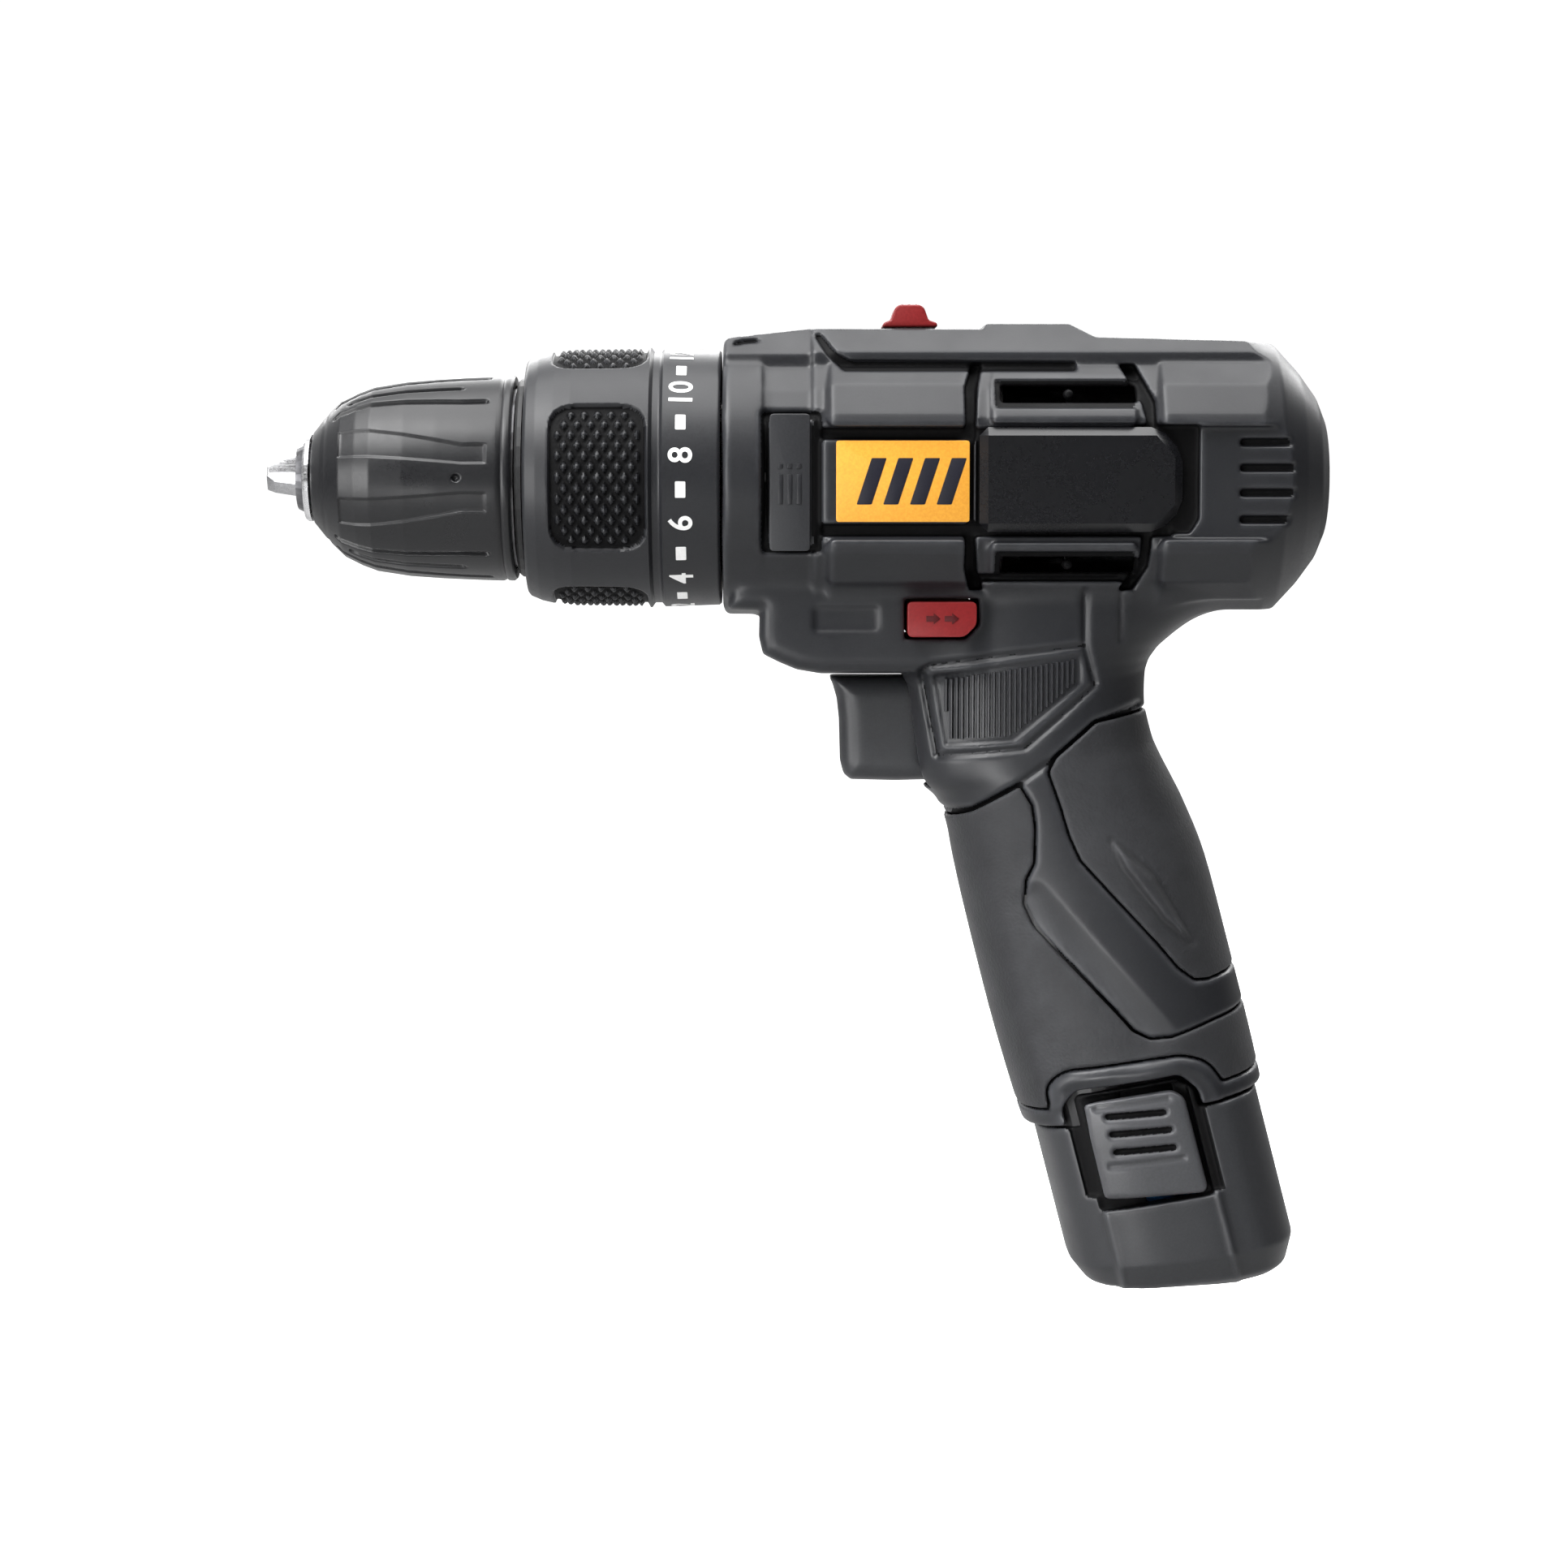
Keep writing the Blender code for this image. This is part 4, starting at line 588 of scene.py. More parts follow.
# Name, colour, its darker patches, roughness, then grain, bump depth and strength
LOOKS = {
    "housing": surface(
        "housing plastic", (0.013, 0.0136, 0.016), (0.0098, 0.0102, 0.0122), 0.4, 2600.0, 0.00003, 0.3,
        edge=(0.05, 0.052, 0.058), specular=0.42,
    ),
    # The housing plastic painted lighter, standing in for light on the trigger, side plates, panel ribs and
    # battery case.
    "housing_painted_lighter": surface(
        "housing plastic painted lighter", (0.023, 0.0238, 0.0265), (0.018, 0.0186, 0.021), 0.42, 2600.0, 0.00003,
        0.3, edge=(0.07, 0.072, 0.078), specular=0.45,
    ),
    # A still lighter copy of the housing plastic, painted light on the latch buttons.
    "latch_painted_lighter": surface(
        "latch plastic painted lighter", (0.042, 0.043, 0.047), (0.034, 0.035, 0.038), 0.42, 2600.0, 0.00003, 0.3,
        edge=(0.1, 0.1, 0.11), specular=0.45,
    ),
    "red_mark": surface(
        "red print", (0.06, 0.004, 0.005), (0.045, 0.003, 0.004), 0.5, 2400.0, specular=0.2,
    ),
    "shell_dark": surface(
        "dark satin plastic", (0.0085, 0.0087, 0.01), (0.0062, 0.0064, 0.0076), 0.34, 2200.0, 0.00002,
        0.2, edge=(0.045, 0.047, 0.05), specular=0.45,
    ),
    "rubber": surface(
        "moulded rubber", (0.0125, 0.0128, 0.0145), (0.0095, 0.0098, 0.0112), 0.6, 3200.0, 0.00006,
        0.55, pebble=1500.0, specular=0.35, sheen=0.05, edge=(0.035, 0.036, 0.04),
    ),
    # Near-black painted shade for the floors of grooves, gaps and pads, not a plastic of its own.
    "recess": surface(
        "painted shade in hollows", (0.0022, 0.0022, 0.0026), (0.0015, 0.0015, 0.0018), 0.6, 2000.0,
        specular=0.12,
    ),
    "gloss": surface(
        "gloss cover", (0.005, 0.0052, 0.0064), (0.0036, 0.0037, 0.0046), 0.28, 1800.0, 0.000004, 0.08,
        coat=0.1, edge=(0.04, 0.042, 0.046), smudge=0.03, specular=0.45,
    ),
    "red": surface(
        "red plastic", (0.19, 0.0105, 0.0115), (0.15, 0.0075, 0.0085), 0.4, 2400.0, 0.00003, 0.25,
        edge=(0.3, 0.03, 0.035), specular=0.35,
    ),
    "amber": surface(
        "amber label", (0.8, 0.355, 0.042), (0.76, 0.33, 0.036), 0.45, 2600.0, 0.00001, 0.12,
        specular=0.3,
    ),
    "ink": surface(
        "dark label print", (0.01, 0.01, 0.018), (0.008, 0.008, 0.014), 0.45, 2600.0, 0.00001, 0.1,
        specular=0.25,
    ),
    "white": surface(
        "white print", (0.84, 0.84, 0.83), (0.76, 0.76, 0.75), 0.45, 2600.0, 0.00002, 0.2, specular=0.3,
    ),
    "steel": surface(
        "ground steel", (0.42, 0.42, 0.43), (0.3, 0.3, 0.31), 0.28, 2500.0, 0.00002, 0.25,
        metallic=1.0, brushed=(120.0, 3200.0, 3200.0), edge=(0.85, 0.85, 0.86), edge_at=METAL_EDGE,
    ),
    "dark_steel": surface(
        "black oxide steel", (0.07, 0.07, 0.075), (0.045, 0.045, 0.05), 0.36, 2500.0, 0.00002, 0.3,
        metallic=1.0, brushed=(2600.0, 400.0, 400.0), edge=(0.3, 0.3, 0.31), edge_at=METAL_EDGE,
    ),
    "sintered": surface(
        "sintered steel", (0.3, 0.29, 0.28), (0.22, 0.215, 0.21), 0.42, 3500.0, 0.00004, 0.5,
        metallic=1.0, edge=(0.55, 0.54, 0.53), edge_at=METAL_EDGE,
    ),
    "bronze": surface(
        "oiled bronze", (0.5, 0.32, 0.15), (0.4, 0.24, 0.1), 0.36, 3000.0, 0.00003, 0.4, metallic=1.0,
        edge=(0.65, 0.45, 0.25), edge_at=METAL_EDGE,
    ),
    "copper": surface(
        "enamelled windings", (0.62, 0.26, 0.1), (0.46, 0.17, 0.06), 0.32, 3000.0, 0.00008, 0.7,
        metallic=0.8, brushed=(200.0, 2600.0, 2600.0),
    ),
    "nylon": surface(
        "filled nylon", (0.56, 0.54, 0.48), (0.48, 0.46, 0.41), 0.5, 2400.0, 0.00004, 0.4,
        edge=(0.7, 0.68, 0.63), edge_at=METAL_EDGE,
    ),
    "inner_black": surface(
        "moulded inner part", (0.012, 0.012, 0.013), (0.008, 0.008, 0.009), 0.5, 2400.0, 0.00004, 0.4,
    ),
    "cell": surface(
        "cell wrap", (0.04, 0.16, 0.36), (0.03, 0.12, 0.3), 0.34, 1500.0, 0.00003, 0.3, coat=0.2,
    ),
    "board": surface(
        "circuit board", (0.02, 0.15, 0.06), (0.012, 0.1, 0.04), 0.42, 1600.0, 0.00005, 0.5,
    ),
    "lens": surface(
        "clear lens", (0.8, 0.83, 0.86), (0.72, 0.75, 0.79), 0.14, 1500.0, 0.00002, 0.15,
        transmission=0.7, coat=0.3, smudge=0.05,
    ),
}


def look(thing, kind):
    thing.data.materials.clear()
    thing.data.materials.append(LOOKS[kind])
    return thing


def piece(thing, kind, body, slot, *nodes):
    """Gives a new piece its look and its body and hides the CAD nodes that it stands for; the slot is not
    used.
    """
    look(thing, kind)
    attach(thing, body)
    if nodes:
        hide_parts(*nodes)
    return thing


# ---------------------------------------------------------------- housing

SIZE = 0.36
HOUSING_ORIGIN = (-108.2, -0.9, -119.0)
HOUSING_FAR = (1.4, 26.4, 29.0)
SQUARE_ROOT_HALF = 0.7071


def grid(origin, far, size):
    """Coordinates along the three axes, each shaped to spread over the other two."""
    return [
        np.arange(low, high, size, dtype=np.float32).reshape([-1 if k == axis else 1 for k in range(3)])
        for axis, (low, high) in enumerate(zip(origin, far))
    ]


def fine_sections():
    """The grip's sections with a smooth curve through them: front, rear and half width."""
    values = np.array([(*front, *rear, width) for front, rear, width in GRIP_SECTIONS])
    rows = []
    last = len(values) - 1
    for k in range(last):
        p0, p1, p2, p3 = (values[min(max(k + d, 0), last)] for d in (-1, 0, 1, 2))
        for t in np.arange(0.0, 1.0, 0.25):
            rows.append(0.5 * (
                2 * p1 + (p2 - p0) * t + (2 * p0 - 5 * p1 + 4 * p2 - p3) * t * t
                + (3 * p1 - 3 * p2 + p3 - p0) * t ** 3
            ))
    rows.append(values[-1])
    rows.append(values[-1] + np.array([2.5, -10.0, 2.5, -10.0, 0.0]))
    return np.array(rows)


def grip_field(x, y, z):
    """Distance-like field of the grip."""
    sections = fine_sections()
    flat_x, flat_z = np.broadcast_arrays(x, z)
    shape = flat_x.shape
    front_x, front_z, rear_x, rear_z, width = (np.empty(shape, np.float32) for _ in range(5))
    above = np.ones(shape, bool)
    previous = None
    for k, row in enumerate(sections):
        cross = (row[2] - row[0]) * (flat_z - row[1]) - (row[3] - row[1]) * (flat_x - row[0])
        cross /= math.hypot(row[2] - row[0], row[3] - row[1])
        if k == 0:
            for target, value in zip((front_x, front_z, rear_x, rear_z, width), row):
                target[...] = value
        else:
            here = above & (previous <= 0.0) if k == len(sections) - 1 else (previous <= 0.0) & (cross > 0.0)
            t = np.clip(previous / np.minimum(previous - cross, -1e-6), 0.0, 1.0)
            for target, first, second in zip((front_x, front_z, rear_x, rear_z, width), sections[k - 1], row):
                target[here] = (first + (second - first) * t)[here]
            above &= ~((previous <= 0.0) & (cross > 0.0))
        previous = cross
    span_x, span_z = rear_x - front_x, rear_z - front_z
    length = np.hypot(span_x, span_z)
    u = 2.0 * ((flat_x - front_x) * span_x + (flat_z - front_z) * span_z) / (length * length) - 1.0
    power = 2.5
    value = (np.abs(u) ** power + np.abs(y / width) ** power) ** (1.0 / power) - 1.0
    return value * np.minimum(length / 2.0, width)


def from_point(x, z, point):
    return np.sqrt((x - point[0]) ** 2 + (z - point[1]) ** 2)


def groove(lines, x, z, width, depth):
    """Depth of soft grooves along open lines."""
    total = 0.0
    for line in lines:
        distance = line_d(line, x, z)
        total = np.maximum(total, depth * np.exp(-(distance / width) ** 2))
    return total


SEAM_LINES = [
    flank([(1408, 872), (1350, 892), (1300, 935), (1255, 968), (1200, 1000), (1160, 1006)]),
    flank([
        (1337, 728), (1337, 796), (1351, 845), (1264, 923), (1157, 934), (1137, 827), (1148, 820),
        (1337, 796),
    ]),
]
SIDE_SEAM = flank([(943, 514), (1008, 514), (1008, 676), (943, 676), (943, 514)])
PANEL = flank([(1154, 834), (1333, 806), (1333, 843), (1250, 913), (1168, 919)])
BAND_EDGE = flank([(1282, 1082), (1448, 1265)])
LEAF = flank([(1372, 1036), (1423, 1080), (1472, 1162), (1436, 1130), (1389, 1071)])

# Sunk areas of the flank: depth, and outline in picture coordinates
ENGRAVED = [
    (1.45, [(1392, 525), (1473, 525), (1473, 640), (1462, 657), (1392, 657)]),
    (1.9, box(1012, 529, 1200, 543)),
    (1.9, box(1012, 646, 1440, 661)),
    (1.4, [(1195, 529), (1197, 529), (1197, 661), (1190, 661), (1190, 529)]),
    (2.2, [(1210, 450), (1198, 450), (1187, 480), (1187, 535), (1199, 535), (1203, 480)]),
    (2.2, [(1378, 450), (1398, 450), (1420, 497), (1420, 532), (1411, 532), (1404, 500)]),
    (2.2, [(1187, 656), (1199, 656), (1203, 704), (1212, 727), (1194, 727), (1187, 700)]),
    (2.2, [(1404, 656), (1416, 656), (1413, 697), (1396, 727), (1376, 727), (1401, 700)]),
    (1.6, [(1203, 707), (1400, 707), (1392, 716), (1206, 716)]),
    (0.9, [
        (1003, 413), (1019, 439), (1040, 459), (1326, 459), (1326, 447), (1048, 446), (1030, 436),
        (1012, 413),
    ]),
    (0.9, [(903, 424), (914, 420), (936, 419), (936, 423), (916, 425), (903, 428)]),
    (0.5, box(1380, 729, 1383, 790)),
]


def above_mouth(e, s):
    """Height above the slanting lower edge of the grip."""
    return s - (16.4 + (e + 21.9) * (13.5 - 16.4) / 43.35)


def housing_fields():
    x, y, z = grid(HOUSING_ORIGIN, HOUSING_FAR, SIZE)
    radius = np.sqrt(y * y + z * z)
    section = BARREL_SECTION + [(-a, b) for a, b in reversed(BARREL_SECTION)]
    barrel = poly_sd(section, y, z) + 0.7 * step(x + 91.0, 0.5)
    barrel = np.maximum(barrel, poly_sd(BARREL_SIDE, x, z))
    # The turned rear cap, looked up by distance from the axis
    spacing = 0.25
    cap_r = np.arange(0.0, 42.0, spacing, dtype=np.float32)
    cap = poly_sd(REAR_CAP, x[:, :, 0], cap_r[None, :])
    index = np.clip(radius / spacing, 0, len(cap_r) - 2)
    low = index.astype(np.int32)[0]
    weight = index[0] - low
    cap = cap[:, low] * (1.0 - weight) + cap[:, low + 1] * weight
    for points in (UPPER_RIDGE, LOWER_RIDGE):
        ridge = poly_sd(points, y, z)
        for start, end, front, rear in ((-90.2, -62.4, 2.6, 0.8), (-32.6, 2.0, 2.4, 0.8)):
            part = ridge
            for plane, chamfer in ((start - x, front), (x - end, rear)):
                part = meet(part, plane, (ridge + plane + chamfer) * SQUARE_ROOT_HALF)
            barrel = smin(barrel, part, 0.25)
        # The block between them carries the air slots
        ends = np.abs(x - RIDGE_BLOCK_X) - 13.2
        block = meet(ridge + 0.5, ends, (ridge + ends + 1.6) * SQUARE_ROOT_HALF)
        barrel = smin(barrel, block, 0.25)
    barrel = np.maximum(barrel, cap)
    neck = radius - 24.2
    for plane, chamfer in ((-106.4 - x, 0.6), (x + 98.4, 1.6)):
        neck = meet(neck, plane, (radius - 24.2 + plane + chamfer) * SQUARE_ROOT_HALF)
    barrel = smin(barrel, neck, 0.8)
    chin = smax(poly_sd(CHIN_SIDE, x, z), y - 17.0, 3.2)
    body = smin(barrel, chin, 1.6)
    grip = np.maximum(grip_field(x, y, z), z + 17.0)
    body = smin(body, grip, 3.0)
    (ax, az), (bx, bz) = BAND_EDGE
    length = math.hypot(bx - ax, bz - az)
    across = ((x - ax) * (bz - az) - (z - az) * (bx - ax)) / length
    along_edge = ((x - ax) * (bx - ax) + (z - az) * (bz - az)) / length
    facet = np.clip(across / 5.5, 0.0, 1.0) * step(-along_edge, 1.5) * step(along_edge - length - 2.0, 3.0)
    facet = facet * (1.9 - 1.1 * step(poly_sd(FRONT_SKIN, x, z), 0.6))
    body = body + facet * step(z + 70.0, 1.0) * step(18.0 - y, 2.0)
    outer = body

    # Hollow inside, with a boss left around each screw
    bore = meet(radius - 20.1, -110.0 - x, x + 13.0)
    bore = smin(bore, meet(radius - 14.0, -30.0 - x, x + 4.0), 0.4)
    hollow = smin(bore, np.maximum(grip + 2.4, z + 10.0), 0.4)
    hollow = np.minimum(hollow, meet(np.abs(x + 81.5) - 15.5, y - 13.0, np.abs(z + 23.7) - 7.7))
    hollow = meet(hollow, *(3.6 - from_point(x, z, screw) for screw in SCREWS))

    # Surface relief on the flanks
    relief = np.zeros(np.broadcast(x, z).shape, np.float32)
    relief -= groove(SEAM_LINES, x, z, 0.5, 0.75)
    relief -= groove([SIDE_SEAM], x, z, 0.62, 1.35)
    relief -= 0.5 * step(poly_sd(PANEL, x, z) - 0.2, 0.25)
    e = (x - STICK.x) * BACK.x + (z - STICK.z) * BACK.z
    s = (x - STICK.x) * UP.x + (z - STICK.z) * UP.z
    arch = poly_sd(rounded(ARCH, 3.0), e, s)
    for outline in (FRONT_SKIN, REAR_SKIN):
        relief -= 1.25 * step(np.maximum(poly_sd(outline, x, z), -arch), 0.2)
    relief += 0.45 * np.exp(-((arch + 1.7) / 1.0) ** 2)
    body = body - relief

    # Openings and pockets
    def slab(outline, inner_y, grow=0.0):
        return np.maximum(poly_sd(outline, x, z) - grow, inner_y - y)

    cuts = [
        np.maximum(slab(box(-95.0, -34.3, -66.0, -54.6), -5.0), y - 7.6),
        slab(TRIGGER_WAY, -5.0),
        slab([(-74.9, -21.0), (-61.9, -21.0), (-61.9, -25.7), (-64.2, -28.1), (-74.9, -28.1)], -5.0),
        np.maximum(slab(LENS_WAY, -5.0), y - 5.4),
        # Slot of the speed selector, and the deck pocket that its foot slides in
        meet(np.abs(x + 73.25 - 3.35) - 6.9, y - 3.4, 15.0 - z),
        meet(np.abs(x + 69.6) - 8.4, y - 6.6, 25.55 - z),
    ]
    for low, high, outline in ((12.9, 15.9, UPPER_RIDGE), (-16.4, -13.6, LOWER_RIDGE)):
        middle, half = (low + high) / 2.0, (high - low) / 2.0
        off, beside = np.abs(z - middle) - half, np.abs(x - SLOT_X)
        vent = meet(beside - 11.8, off, 12.0 - y)
        peg = np.maximum(from_point(x, z, (SLOT_X, middle)) - 0.9, y - 18.6)
        cuts.append(np.maximum(vent, -peg))
        cuts.append(meet(beside - 12.9, off - 0.9, y - 40.0, -(poly_sd(outline, y, z) + 1.3)))
    for height in RIB_HEIGHTS:
        cuts.append(meet(np.abs(x - RIB_X) - 6.6, np.abs(z - height) - 0.65, 21.2 - y))
    for outline, grow in ((box(-98.6, 11.2, -91.2, -12.8), 0.45), (COVER_PLATE, 0.3)):
        cuts.append(slab(outline, 21.3, grow))
    for depth, outline in ENGRAVED:
        cuts.append(np.maximum(poly_sd(flank(outline), x, z), -outer - depth))
    cuts.append(slab(rounded(flank(box(1003, 748, 1083, 778)), 0.8), 16.55))
    cuts.append(np.maximum(poly_sd(rounded(NOTCH, 1.2), e, s), 12.0 - y))
    for cutter in cuts:
        body = np.maximum(body, -cutter)
    return (x, y, z), outer, meet(body, -hollow, -above_mouth(e, s)), hollow, e, s


GRIDS, OUTER, BODY, HOLLOW, STICK_E, STICK_S = housing_fields()
GX, GY, GZ = GRIDS


def surface_height(field):
    """A function giving y of the flank at any (x, z), from the last crossing of a field along y."""
    inside = field < 0.0
    last = field.shape[1] - 1 - np.argmax(inside[:, ::-1, :], axis=1)
    last = np.clip(last, 0, field.shape[1] - 2)
    first = np.take_along_axis(field, last[:, None, :], 1)[:, 0]
    second = np.take_along_axis(field, last[:, None, :] + 1, 1)[:, 0]
    t = np.clip(first / np.where(second - first > 1e-6, first - second, -1e-6), 0.0, 1.0)
    height = HOUSING_ORIGIN[1] + (last + t) * SIZE
    height[~inside.any(axis=1)] = np.nan

    def at(x, z):
        i = np.clip((np.asarray(x, float) - HOUSING_ORIGIN[0]) / SIZE, 0, height.shape[0] - 1.001)
        k = np.clip((np.asarray(z, float) - HOUSING_ORIGIN[2]) / SIZE, 0, height.shape[1] - 1.001)
        i0, k0 = i.astype(int), k.astype(int)
        u, w = i - i0, k - k0
        return (
            height[i0, k0] * (1 - u) * (1 - w) + height[i0 + 1, k0] * u * (1 - w)
            + height[i0, k0 + 1] * (1 - u) * w + height[i0 + 1, k0 + 1] * u * w
        )

    return at


OUTER_Y = surface_height(OUTER)


def inside_hollow(verts):
    """True for vertices of the inner walls."""
    place = ((verts - np.array(HOUSING_ORIGIN)) / SIZE).round().astype(int)
    index = tuple(np.clip(place, 0, np.array(HOLLOW.shape) - 1).T)
    return (OUTER[index] < -1.6) & (np.abs(HOLLOW[index]) < 0.9)


def screwed(field, side):
    """The field with the screws' holes, which are on the right side only."""
    if side < 0.0:
        return field
    return meet(field, *(-np.maximum(from_point(GX, GZ, screw) - 2.9, 12.0 - GY) for screw in SCREWS))


def build_housing():
    split = 0.15 - GY
    for name, side in SIDES:
        field = blurred(screwed(np.maximum(BODY, split), side), 0.75)
        thing = field_object(f"housing_shell_{name}", field, HOUSING_ORIGIN, SIZE, side, inside_hollow, 0.12)
        piece(thing, "housing", "frame", "housing", f"housing_{name}")
        # Faces sunk more than 0.55 mm below the outer flank are painted with shade.
        centres = face_centres(thing) * np.array([1.0, side, 1.0])
        darken(thing, sampled(OUTER, centres, HOUSING_ORIGIN, SIZE) < -0.55)
    for zone, outline in (("front", FRONT_SKIN), ("rear", REAR_SKIN)):
        relief = 0.0
        if zone == "rear":
            relief = 1.2 * step(poly_sd(LEAF, GX, GZ), 0.45) - groove([LEAF[:3]], GX, GZ, 0.6, 0.5)
        field = meet(OUTER - relief, -(OUTER + 1.0), poly_sd(outline, GX, GZ) + 0.28, split)
        if zone == "front":
            arch = poly_sd(rounded(ARCH, 3.0), STICK_E, STICK_S) - 0.28
            field = np.maximum(field, -np.maximum(arch, 6.0 - GY))
        field = np.maximum(field, -above_mouth(STICK_E, STICK_S))
        for name, side in SIDES:
            own = blurred(screwed(field, side), 0.7)
            thing = field_object(f"grip_skin_{zone}_{name}", own, HOUSING_ORIGIN, SIZE, side)
            piece(thing, "rubber", "frame", "rubber", f"grip_{zone}_{name}")


build_housing()

# ---------------------------------------------------------------- plates and controls

COVER_INSERT = [(-62.2, 8.7), (-31.2, 8.7), (-27.2, 4.2), (-27.2, -5.2), (-31.2, -9.3), (-62.2, -9.3)]
for word, side in SIDES:
    inset = box(-98.4, 11.0, -91.4, -12.6)
    plate = flank_prism(f"side_insert_{word}", inset, side, 21.4, 22.35, 0.35, 3, 0.8)
    # The side insert takes the housing plastic painted lighter, as painted light.
    piece(plate, "housing_painted_lighter", "frame", "housing", f"side_plate_{word}")
    plate = flank_prism(f"cover_insert_{word}", COVER_INSERT, side, 21.2, 24.1, 1.7, 1)
    soften = plate.modifiers.new("soften", "BEVEL")
    soften.width = 0.25 * MM
    soften.segments = 2
    soften.limit_method = "ANGLE"
    soften.angle_limit = math.radians(25.0)
    applied(plate)
    piece(plate, "gloss", "frame", "black_plastic", f"cover_plate_{word}")

label = prism("label_insert", box(-86.9, 6.4, -63.9, -7.6), -22.55, -21.7, 0.12, 2, 0.5)
piece(label, "amber", "frame", "amber", "label_plate")
for number in range(4):
    x = -83.4 + number * 4.6
    bar = [(x, -4.6), (x + 2.6, -4.6), (x + 5.2, 3.4), (x + 2.6, 3.4)]
    mark = prism(f"label_bar_{number + 1}", bar, -22.6, -22.45, 0.03, 2, 0.2)
    piece(mark, "ink", "frame", "amber")


def panel_ribs(side, name):
    """Upright ribs that follow the flank inside the panel."""
    pitch, half = 0.92, 0.27
    (low_x, low_z), (high_x, high_z) = np.min(PANEL, axis=0), np.max(PANEL, axis=0)
    heights = np.arange(low_z, high_z, 0.25)
    verts, faces = [], []
    for x in np.arange(low_x + 0.9, high_x - 0.9, pitch):
        inside = heights[poly_sd(PANEL, np.full(len(heights), x), heights) < -0.75]
        if len(inside) < 8:
            continue
        zs = np.linspace(inside[0], inside[-1], 14)
        first = len(verts)
        left = [(-half, -1.2), (-half, -0.3), (-half / 2, -0.08)]
        across = left + [(-dx, dy) for dx, dy in left[::-1]]
        for z in zs:
            for dx, dy in across:
                verts.append((x + dx, side * float(OUTER_Y(x + dx, z) + dy), z))
        count = len(across)
        for row in range(len(zs) - 1):
            for k in range(count):
                a, b = first + row * count + k, first + row * count + (k + 1) % count
                faces.append((a, b, b + count, a + count))
        for base, flip in ((first, True), (first + (len(zs) - 1) * count, False)):
            for quad in ((0, 1, 4, 5), (1, 2, 3, 4)):
                face = [base + q for q in quad]
                faces.append(tuple(face[::-1] if flip else face))
    thing = turned_outward(mesh_object(f"panel_ribs_{name}", np.array(verts), np.array(faces)))
    # The ribs take the housing plastic painted lighter, as painted light.
    piece(thing, "housing_painted_lighter", "frame", "housing")


for word, side in SIDES:
    panel_ribs(side, word)

for word, side in SIDES:
    bars = [
        flank_prism("bar", box(x, z0, x + 0.8, z1), side, 22.2, 22.5, 0.1, 2)
        for z0, z1 in ((-4.6, 0.6), (1.6, 2.4)) for x in (-96.9, -95.3, -93.7)
    ]
    piece(joined(bars, f"side_icon_{word}"), "housing", "frame", "housing")

# ---------------------------------------------------------------- trigger and its switches


def build_trigger():
    origin = (-90.2, -8.6, -56.0)
    x, y, z = grid(origin, (-67.0, 8.8, -33.0), 0.3)
    # The edges of the front face are well rounded
    across = np.abs(y) - 7.2
    field = np.maximum(smax(poly_sd(TRIGGER_SIDE, x, z) + 0.35, across, 4.2), across)
    thing = field_object("trigger_lever", blurred(field, 0.9), origin, 0.3)
    # The trigger takes the housing plastic painted lighter, as painted light.
    piece(thing, "housing_painted_lighter", "trigger", "housing", "trigger")


build_trigger()

selector = [
    (-78.6, 26.5), (-68.8, 26.5), (-69.0, 27.3), (-70.4, 27.7), (-71.2, 29.9), (-72.0, 30.4), (-75.6, 30.4),
    (-76.3, 29.9), (-77.1, 27.7), (-78.3, 27.3),
]
selector = prism("selector_knob", selector, -6.3, 6.3, 0.35)
piece(selector, "red", "selector", "red_plastic", "speed_selector")
for number in range(3):
    x = -75.0 + number * 1.2
    ridge = [(x - 0.25, 30.2), (x + 0.25, 30.2), (x + 0.18, 30.49), (x - 0.18, 30.49)]
    piece(prism(f"selector_ridge_{number + 1}", ridge, -5.2, 5.2), "red", "selector", "red_plastic")

button = [(-74.4, -21.5), (-62.4, -21.5), (-62.4, -25.5), (-64.5, -27.6), (-74.4, -27.6)]
button = prism("direction_bar", button, -19.4, 19.4, 0.7, 4, 0.9)
piece(button, "red", "direction", "red_plastic", "direction_button")
ARROW = [(0.0, -24.9), (1.3, -24.9), (1.3, -25.4), (2.5, -24.4), (1.3, -23.4), (1.3, -23.9), (0.0, -23.9)]
for word, side in SIDES:
    for number in range(2):
        arrow = [(a - 71.2 + number * 3.2, b) for a, b in ARROW]
        mark = flank_prism(f"direction_arrow_{word}_{number + 1}", arrow, side, 19.2, 19.52, 0.05, 2)
        piece(mark, "red_mark", "direction", "red_plastic")

# ---------------------------------------------------------------- battery


def pack_field(e, y, s):
    """The pack's rounded outline, which narrows and slopes at its foot."""
    levels = [s - (height + slope * e) for _, _, height, slope in PACK_RINGS]
    depth = np.full(levels[0].shape, PACK_RINGS[-1][0], np.float32)
    width = np.full(levels[0].shape, PACK_RINGS[-1][1], np.float32)
    for k in range(len(levels) - 1):
        here = (levels[k + 1] < 0.0) & (levels[k] >= 0.0) if k else levels[k + 1] < 0.0
        t = np.clip(levels[k] / (levels[k] - levels[k + 1]), 0.0, 1.0)
        d = PACK_RINGS[k][0] + (PACK_RINGS[k + 1][0] - PACK_RINGS[k][0]) * t
        w = PACK_RINGS[k][1] + (PACK_RINGS[k + 1][1] - PACK_RINGS[k][1]) * t
        depth = np.where(here, d, depth)
        width = np.where(here, w, width)
    return oval(e, y, depth, width) * np.minimum(depth, width), levels[0], levels[-1]


def on_stick(thing):
    """Centres of the faces along the battery's own axes."""
    return (face_centres(thing) - np.array(STICK)) @ STICK_AXES.T


